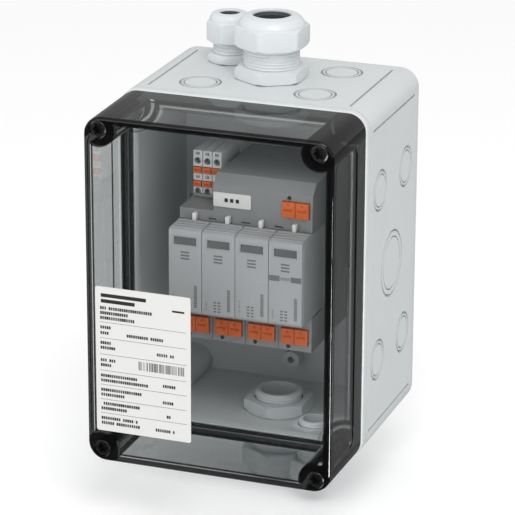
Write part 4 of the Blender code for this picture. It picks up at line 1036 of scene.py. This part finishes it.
def build_rail(own):
    """The mounting rail and its two screws."""
    soften_node("din_rail", "zinc", 0.2 * MM)
    for hand in ("left", "right"):
        node = f"rail_screw_{hand}"
        low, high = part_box(node)
        at = middle(node)
        slot, cross = [
            box_mesh((at.x - x, low.y - OVER, at.z - z), (at.x + x, low.y + 1.1 * MM, at.z + z))
            for x, z in ((0.45 * MM, 4 * MM), (4 * MM, 0.45 * MM))
        ]
        body = carve(softened(node_mesh(node), 0.3 * MM, 2, 50), "DIFFERENCE", slot, cross)
        add_piece(f"{node}_finished", body, "zinc", "enclosure", [node])


def build_protector(own):
    """The protector's base and foot latch, the pole seams, and the small white pins."""
    low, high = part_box("protector_base")
    plug_low, plug_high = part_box("protector_plug_1")
    rail_low, rail_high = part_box("din_rail")
    latch_low, latch_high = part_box("protector_foot_latch")
    carrier_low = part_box("terminal_carrier")[0]
    tag_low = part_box("device_tag")[0]
    left, right = low.x - OVER, high.x + OVER
    front, back = low.y - OVER, high.y + OVER
    outline = [
        (low.y, low.z), (high.y, low.z), (high.y, high.z), (low.y + HOUSING_BEVEL, high.z),
        (low.y, high.z - HOUSING_BEVEL),
    ]
    body = softened(profile_block(outline, low.x, high.x), own.edge, 2, 30)
    bay = box_mesh((left, front, plug_low.z - 2 * CLEAR), (right, low.y + BAY_DEPTH, plug_high.z + 2 * CLEAR))
    notch = box_mesh((left, front, carrier_low.z - CLEAR), (tag_low.x - CLEAR, back, high.z + OVER))
    rail = box_mesh((left, rail_low.y - CLEAR, rail_low.z - CLEAR), (right, back, rail_high.z + CLEAR))
    pockets = [box_mesh(
        (latch_low.x - CLEAR, latch_low.y - CLEAR, low.z - OVER), (latch_high.x + CLEAR, back, rail_low.z + CLEAR))]
    holes = bmesh.new()
    for node in frame["nodes"]:
        if not node.startswith(("lever_", "status_pin_")):
            continue
        a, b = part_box(node)
        pockets.append(box_mesh((a.x - CLEAR, front, a.z - CLEAR), (b.x + CLEAR, b.y + 3 * MM, b.z + CLEAR)))
        if node.startswith("lever_") and node.endswith("_left"):
            # A test hole beside each pair of levers.
            x, z = (a.x + b.x) / 2, a.z - 1.8 * MM if b.z < 0 else b.z + 1.8 * MM
            add_rod(holes, (x, front, z), (x, low.y + 3 * MM, z), TEST_HOLE_R, 24)
    for number in (1, 2, 3, 4):
        x, blade_end = middle(f"protector_plug_{number}").x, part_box(f"protector_plug_{number}")[1].y
        for z in BLADE_Z:
            pockets.append(box_mesh(
                (x - 1.1 * MM, low.y + BAY_DEPTH - OVER, z - 5 * MM), (x + 1.1 * MM, blade_end + CLEAR, z + 5 * MM)))
    body = carve(body, "DIFFERENCE", bay, notch, rail, *pockets, mesh_of(holes))
    seams = bmesh.new()
    pitch = middle("protector_plug_2").x - middle("protector_plug_1").x
    slot_z = plug_high.z + 1.9 * MM
    for i in (1, 2, 3):
        x = low.x + i * pitch
        add_box(seams, (x - 0.2 * MM, front, low.z - OVER), (x + 0.2 * MM, low.y + 0.5 * MM, plug_low.z - OVER))
        # Latching slots between the pins.
        add_box(seams, (x - 2.2 * MM, front, slot_z - 0.45 * MM), (x + 2.2 * MM, low.y + 2 * MM, slot_z + 0.45 * MM))
    body = carve(body, "DIFFERENCE", mesh_of(seams))
    add_piece("protector_housing", body, "protector", "enclosure", ["protector_base"], 20)
    soften_node("protector_foot_latch", "screw", own.edge)
    for i in (1, 2, 3, 4):
        soften_node(f"status_pin_{i}", "pin", own.edge * 0.5)


def build_plugs(own):
    """Pull-out plugs: a ribbed sloping top, a sunk window, three rules, printed bars and contact blades."""
    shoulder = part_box("protector_base")[0].y
    for i in (1, 2, 3, 4):
        node = f"protector_plug_{i}"
        low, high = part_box(node)
        front, back = low.y, high.y - BLADE_LENGTH
        slope_end = shoulder - 0.6 * MM
        outline = [
            (front + 1.2 * MM, high.z), (slope_end, high.z + 0.7 * MM), (slope_end, high.z), (back, high.z),
            (back, low.z), (front + 1.5 * MM, low.z), (front, low.z + 1.5 * MM), (front, high.z - 1.0 * MM),
        ]
        body = softened(profile_block(outline, low.x, high.x), own.edge, 2, 40)
        centre = (low.x + high.x) / 2

        def window_box(half_w, low_z, high_z, low_y, high_y):
            return box_mesh((centre - half_w, front + low_y, low_z), (centre + half_w, front + high_y, high_z))

        lip = window_box(6.6 * MM, 13.5 * MM, 18.9 * MM, -OVER, 0.3 * MM)
        window = window_box(6 * MM, 14.1 * MM, 18.3 * MM, -OVER, 1.2 * MM)
        pane = window_box(5.9 * MM, 14.2 * MM, 18.2 * MM, 0.9 * MM, 1.15 * MM)
        body = carve(body, "DIFFERENCE", lip, window)
        seam = bmesh.new()
        for x in (low.x, high.x):
            add_box(
                seam, (x - 0.25 * MM, front + 3.2 * MM, low.z - OVER),
                (x + 0.25 * MM, front + 3.5 * MM, high.z + OVER))
        body = carve(body, "DIFFERENCE", mesh_of(seam))
        ribs = grown(
            ribs_tree, Count=own.rib_count, Start=(centre, front + 3 * MM, high.z + 0.1 * MM),
            Step=(0, 3.1 * MM, 0.16 * MM), Size=(high.x - low.x - 0.8 * MM, 1.3 * MM, 0.6 * MM + own.rib_height),
        )
        blades = bmesh.new()
        for z in BLADE_Z:
            add_box(
                blades, (centre - 0.6 * MM, back - OVER, z - 4.5 * MM), (centre + 0.6 * MM, high.y, z + 4.5 * MM))
        add_piece(f"plug_{i}_moulding", joined(body, softened(ribs, 0.2 * MM, 2)), "plug", node, [node])
        add_piece(f"plug_{i}_blades", softened(mesh_of(blades), 0.2 * MM), "zinc", node, [])
        add_piece(f"plug_{i}_window", pane, "window", node, [])
        marks = plug_print(own, i, centre / MM, front / MM)
        add_piece(f"plug_{i}_print", joined(*marks), "pale_ink", node, [])


def plug_print(own, number, x, front):
    """The marks on a plug's face, in millimetres: three rules, bars in place of words, and on the last a stripe."""
    y, thin, seed = front - PRINT_SUNK, PRINT_THICK, own.seed + number
    marks = [ink_block(x - 2.3, z - 0.45, x + 2.3, z + 0.45, y) for z in (7.0, 8.7, 10.4)]
    marks.append(ink_bars((x + 5.6, y, -18.2), 12, (0, 0, 1.0), (1.8, thin, 0.7), 0.85, 1.0, seed))
    marks.append(ink_bars((x - 6.4, y, -18.4), 9, (0, 0, 0.8), (0.7, thin, 0.4), 0.5, 0.7, seed + 5))
    for dx in (-1.7, 0.5):
        marks.append(ink_bars((x + dx, y, -19.2), 4, (0, 0, 1.6), (1.5, thin, 0.8), 0.9, 1.0, seed + 9))
    if number == 4:
        marks += [ink_block(x + left, 1.4, x + right, 4.3, y) for left, right in ((-8.5, -2.9), (2.9, 8.5))]
        marks.append(ink_bars((x - 2.0, y, 2.85), 5, (1.0, 0, 0), (0.6, thin, 1.5), 0.9, 1.0, own.seed + 21))
    return marks


def build_levers(own):
    """Orange release levers: each has softened edges and a shallow driver slot."""
    nodes = [n for n in frame["nodes"] if n.startswith(("lever_", "terminal_lever_"))]
    for node in nodes:
        low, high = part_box(node)
        at = middle(node)
        body = softened(node_mesh(node), own.edge, 3)
        if node.startswith("lever_"):
            dents = [((at.x - 2.2 * MM, at.z - 0.5 * MM), (at.x + 2.2 * MM, at.z + 0.5 * MM))]
            dents.append(((at.x - 0.5 * MM, at.z + 2.1 * MM), (at.x + 0.5 * MM, at.z + 3.2 * MM)))
        else:
            dents = [((at.x - 1.2 * MM, at.z - 0.35 * MM), (at.x + 1.2 * MM, at.z + 0.35 * MM))]
        for (x0, z0), (x1, z1) in dents:
            body = carve(body, "DIFFERENCE", box_mesh((x0, low.y - OVER, z0), (x1, low.y + 0.6 * MM, z1)))
        add_piece(f"{node}_finished", body, "lever", node, [node])


def build_terminals(own):
    """Signal terminals with round entries and clamps, their carrier, and printed position marks."""
    soften_node("terminal_carrier", "protector", own.edge)
    for i in (1, 2, 3):
        node = f"terminal_{i}"
        low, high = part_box(node)
        at = middle(node)
        top = high.z - 6 * MM
        outline = [(low.y, low.z), (high.y, low.z), (high.y, top), (high.y - 6 * MM, high.z), (low.y, high.z)]
        body = softened(profile_block(outline, low.x, high.x), own.edge, 2, 40)
        holes, pockets, clamps = bmesh.new(), bmesh.new(), bmesh.new()
        for row in ("upper", "lower"):
            lever_low, lever_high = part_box(f"terminal_lever_{i}_{row}")
            add_box(
                pockets, (lever_low.x - CLEAR, low.y - OVER, lever_low.z - CLEAR),
                (lever_high.x + CLEAR, lever_high.y + 1.5 * MM, lever_high.z + CLEAR))
        for z in ENTRY_Z:
            add_rod(holes, (at.x, low.y - OVER, z), (at.x, low.y + ENTRY_DEPTH, z), ENTRY_R, 32)
            add_box(
                clamps, (at.x + 0.1 * MM, low.y + 1.2 * MM, z - 0.9 * MM),
                (at.x + 1.3 * MM, low.y + 6 * MM, z + 1.0 * MM))
        body = carve(body, "DIFFERENCE", mesh_of(pockets), mesh_of(holes))
        add_piece(f"{node}_finished", body, "terminal", "enclosure", [node])
        add_piece(f"{node}_clamps", mesh_of(clamps), "zinc", "enclosure", [])
        x, y = at.x / MM - 0.7, low.y / MM - PRINT_SUNK
        marks = [
            ink_bars((x, y, z), 3, (0.7, 0, 0), (0.5, PRINT_THICK, 1.5), 0.6, 1.0, own.seed + i)
            for z in (39.7, 52.1)
        ]
        add_piece(f"{node}_print", joined(*marks), "ink", "enclosure", [])


def rounded_plate(node, radius):
    """A flat plate with rounded corners in the place of a CAD node, a hair behind the node's front."""
    low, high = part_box(node)
    at = middle(node)
    outline = rounded_outline((high.x - low.x) / 2, (high.z - low.z) / 2, radius, 5)
    return plate([(at.x + x, at.z + z) for x, z in outline], low.y + 0.05 * MM, high.y)


def build_tag(own):
    """The device tag: a white plate with rounded corners and three plain marks."""
    at = middle("device_tag")
    body = softened(rounded_plate("device_tag", 0.8 * MM), 0.1 * MM)
    add_piece("tag_plate", body, "film", "enclosure", ["device_tag"])
    x, y, z = at.x / MM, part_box("device_tag")[0].y / MM + 0.03, at.z / MM
    marks = [ink_block(x + left, z - 1, x + left + 1.8, z + 1, y) for left in (-4, -1, 2)]
    add_piece("tag_print", joined(*marks), "ink", "enclosure", [])


# Lines of bars on the label: distance below its top edge, start from its left edge, number of bars, height.
LABEL_LINES = (
    (11.0, 3, 24, 0.95), (13.6, 3, 14, 0.95), (16.2, 3, 16, 0.95), (21.2, 3, 5, 0.9), (24.2, 3, 4, 0.9),
    (24.2, 17, 17, 0.9), (29.4, 3, 5, 0.9), (32.0, 3, 7, 0.9), (32.0, 33, 8, 0.9), (38.6, 3, 7, 0.9),
    (41.2, 3, 6, 0.9), (46.8, 3, 18, 0.9), (49.4, 3, 22, 0.9), (48.2, 36, 6, 0.9), (54.4, 3, 19, 0.9),
    (57.0, 3, 12, 0.9), (57.0, 36, 5, 0.9), (61.8, 3, 18, 0.9), (64.4, 3, 12, 0.9), (64.4, 38, 3, 0.9),
    (69.6, 3, 17, 0.9), (72.2, 3, 18, 0.9), (72.2, 32, 9, 0.9),
)
LABEL_RULES = (18.6, 27.0, 35.6, 44.2, 51.8, 59.6, 67.0)


def build_label(own):
    """The type label on the lid: white film with plain bars and rules in place of words and marks."""
    low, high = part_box("type_label")
    left, right, top, y = low.x / MM, high.x / MM, high.z / MM, low.y / MM + 0.03
    add_piece("label_film", rounded_plate("type_label", 1 * MM), "film", "lid", ["type_label"])
    marks = [
        ink_block(left + 3.0, top - 5.3, left + 27.0, top - 3.4, y),
        ink_block(left + 3.0, top - 8.3, left + 21.0, top - 6.4, y),
        ink_block(right - 9.6, top - 8.6, right - 3.2, top - 7.6, y),
    ]
    for n, (below, start, count, tall) in enumerate(LABEL_LINES):
        size = (1.02, PRINT_THICK, 1.7 * tall)
        at = (left + start, y, top - below)
        marks.append(ink_bars(at, count, (1.15, 0, 0), size, 0.7, 0.94, own.seed + 3 * n))
    marks += [ink_block(left + 2.2, top - z, right - 2.2, top - z + 0.18, y) for z in LABEL_RULES]
    code = (0.42, PRINT_THICK, 4.6)
    marks.append(ink_bars((left + 23.0, y, top - 39.2), 44, (0.55, 0, 0), code, 0.3, 0.9, own.seed + 40))
    add_piece("label_print", joined(*marks), "ink", "lid", [])


# ---------------------------------------------------------------- stage

FLOOR_REACH = 6.0
CAMERA_PLACE = (0.48025, -1.38553, 0.50379)
CARD_DISTANCE, CARD_ANGLE = 0.35, math.radians(70)  # from the lid's right front edge, turned from straight ahead


def add_area_light(name, at, aim, size, power):
    light = bpy.data.lights.new(name, "AREA")
    light.shape = "RECTANGLE"
    light.size, light.size_y = size
    light.energy = power
    obj = bpy.data.objects.new(name, light)
    bpy.context.scene.collection.objects.link(obj)
    obj.location = at
    obj.rotation_euler = (Vector(aim) - Vector(at)).to_track_quat("-Z", "Y").to_euler()
    return obj


def build_stage(own):
    """A white paper floor, a soft white room, area lights and the camera."""
    scene = bpy.context.scene
    low, high = CAD_BOX
    bm = bmesh.new()
    floor_z = low.z - 0.5 * MM
    corners = ((-1, -1), (1, -1), (1, 1), (-1, 1))
    bm.faces.new([bm.verts.new((x * FLOOR_REACH, y * FLOOR_REACH, floor_z)) for x, y in corners])
    mesh = bpy.data.meshes.new("studio_floor")
    bm.to_mesh(mesh)
    bm.free()
    mesh.materials.append(backdrop_paper())
    floor = bpy.data.objects.new("studio_floor", mesh)
    scene.collection.objects.link(floor)

    world = bpy.data.worlds.new("studio_room")
    world.use_nodes = True
    tree = world.node_tree
    tree.nodes.clear()
    # Seen straight on the room is plain white. Glossy surfaces mirror a dimmer one, which keeps the lid clear.
    path = add_node(tree, "ShaderNodeLightPath")
    dimmer = add_node(tree, "ShaderNodeMix", {0: path.outputs["Is Glossy Ray"], 2: own.surround, 3: own.mirrored})
    strength = add_node(tree, "ShaderNodeMix", {0: path.outputs["Is Camera Ray"], 2: dimmer.outputs[0], 3: 1.0})
    light = add_node(tree, "ShaderNodeBackground", {"Color": (1, 1, 1, 1), "Strength": strength.outputs[0]})
    add_node(tree, "ShaderNodeOutputWorld", {"Surface": light.outputs[0]})
    scene.world = world

    centre = (low + high) / 2
    add_area_light("key_light", centre + Vector((0.5, -0.9, 1.3)), centre, (0.7, 0.7), own.key)
    add_area_light("front_fill", centre + Vector((-0.5, -1.5, 0.2)), centre, (1.0, 1.2), own.key * 0.42)
    # A lamp behind the lid's face lights what stands in the box.
    at = Vector((0, low.y + 8 * MM, 0))
    inner = add_area_light("inner_fill", at, at + Vector((0, 1, 0)), (0.11, 0.16), own.inner)
    inner.visible_camera = False
    inner.visible_glossy = False

    # A bright strip on the floor that only glossy edges see.
    along = Vector((math.sin(CARD_ANGLE), -math.cos(CARD_ANGLE), 0))
    at = Vector((high.x, low.y, low.z + 2 * MM)) + CARD_DISTANCE * along
    card = add_area_light("edge_card", at, at + Vector((0, 0, 1)), (0.045, 0.55), own.card)
    card.rotation_euler = (math.pi, 0, math.atan2(along.y, along.x) - math.pi / 2)
    card.visible_diffuse = False
    card.visible_camera = False

    camera = bpy.data.objects.new("camera", bpy.data.cameras.new("camera"))
    scene.collection.objects.link(camera)
    camera.data.lens = own.lens
    camera.data.clip_end = 50
    back = Vector((
        math.sin(own.yaw) * math.cos(own.pitch), -math.cos(own.yaw) * math.cos(own.pitch), math.sin(own.pitch)))
    right = (-back).cross(Vector((0, 0, 1))).normalized()
    up = right.cross(-back)
    turn = Matrix.Rotation(own.roll, 3, back)
    columns = Matrix((turn @ right, turn @ up, back)).transposed()
    camera.matrix_world = Matrix.Translation(CAMERA_PLACE) @ columns.to_4x4()
    scene.camera = camera
    scene.view_settings.view_transform = "Standard"


# ---------------------------------------------------------------- operators and panel


def operator_class(name, label, description, build, group):
    """An operator that runs one build function with its group of settings."""

    def execute(self, context):
        build(getattr(context.scene.combiner_box, group))
        return {"FINISHED"}

    return type(f"COMBINERBOX_OT_{name}", (bpy.types.Operator,), {
        "__doc__": description, "bl_idname": f"combinerbox.{name}", "bl_label": label, "execute": execute})


OPERATORS = [
    operator_class("base", "Base", "Build the grey base and its gasket", build_base, "enclosure"),
    operator_class("lid", "Lid", "Build the smoked clear lid", build_lid, "enclosure"),
    operator_class("lid_screws", "Lid screws", "Build the four captive screws", build_lid_screws, "enclosure"),
    operator_class("glands", "Cable glands", "Build the four cable glands", build_glands, "gland"),
    operator_class("rail", "Mounting rail", "Build the rail and its screws", build_rail, "device"),
    operator_class("protector", "Protector", "Build the surge protector's base", build_protector, "device"),
    operator_class("plugs", "Plugs", "Build the arrester plugs", build_plugs, "device"),
    operator_class("levers", "Levers", "Build the release levers", build_levers, "device"),
    operator_class("terminals", "Terminals", "Build the signal terminals", build_terminals, "device"),
    operator_class("tag", "Device tag", "Build the white device tag", build_tag, "device"),
    operator_class("label", "Type label", "Build the label on the lid", build_label, "device"),
    operator_class("stage", "Stage", "Build the floor, lights and camera", build_stage, "stage"),
]


class COMBINERBOX_PT_panel(bpy.types.Panel):
    """The combiner box's operators, in building order."""

    bl_label = "Combiner Box"
    bl_idname = "COMBINERBOX_PT_panel"
    bl_space_type = "VIEW_3D"
    bl_region_type = "UI"
    bl_category = "Combiner Box"

    def draw(self, context):
        for operator in OPERATORS:
            self.layout.operator(operator.bl_idname)


CLASSES = [
    FinishSettings, EnclosureSettings, GlandSettings, DeviceSettings, StageSettings, BoxSettings, *OPERATORS,
    COMBINERBOX_PT_panel,
]


def register():
    for cls in CLASSES:
        bpy.utils.register_class(cls)
    bpy.types.Scene.combiner_box = PointerProperty(type=BoxSettings)


def unregister():
    del bpy.types.Scene.combiner_box
    for cls in reversed(CLASSES):
        bpy.utils.unregister_class(cls)


def main():
    register()
    for operator in OPERATORS:
        getattr(bpy.ops.combinerbox, operator.bl_idname.split(".")[1])()


if __name__ == "__main__":
    main()
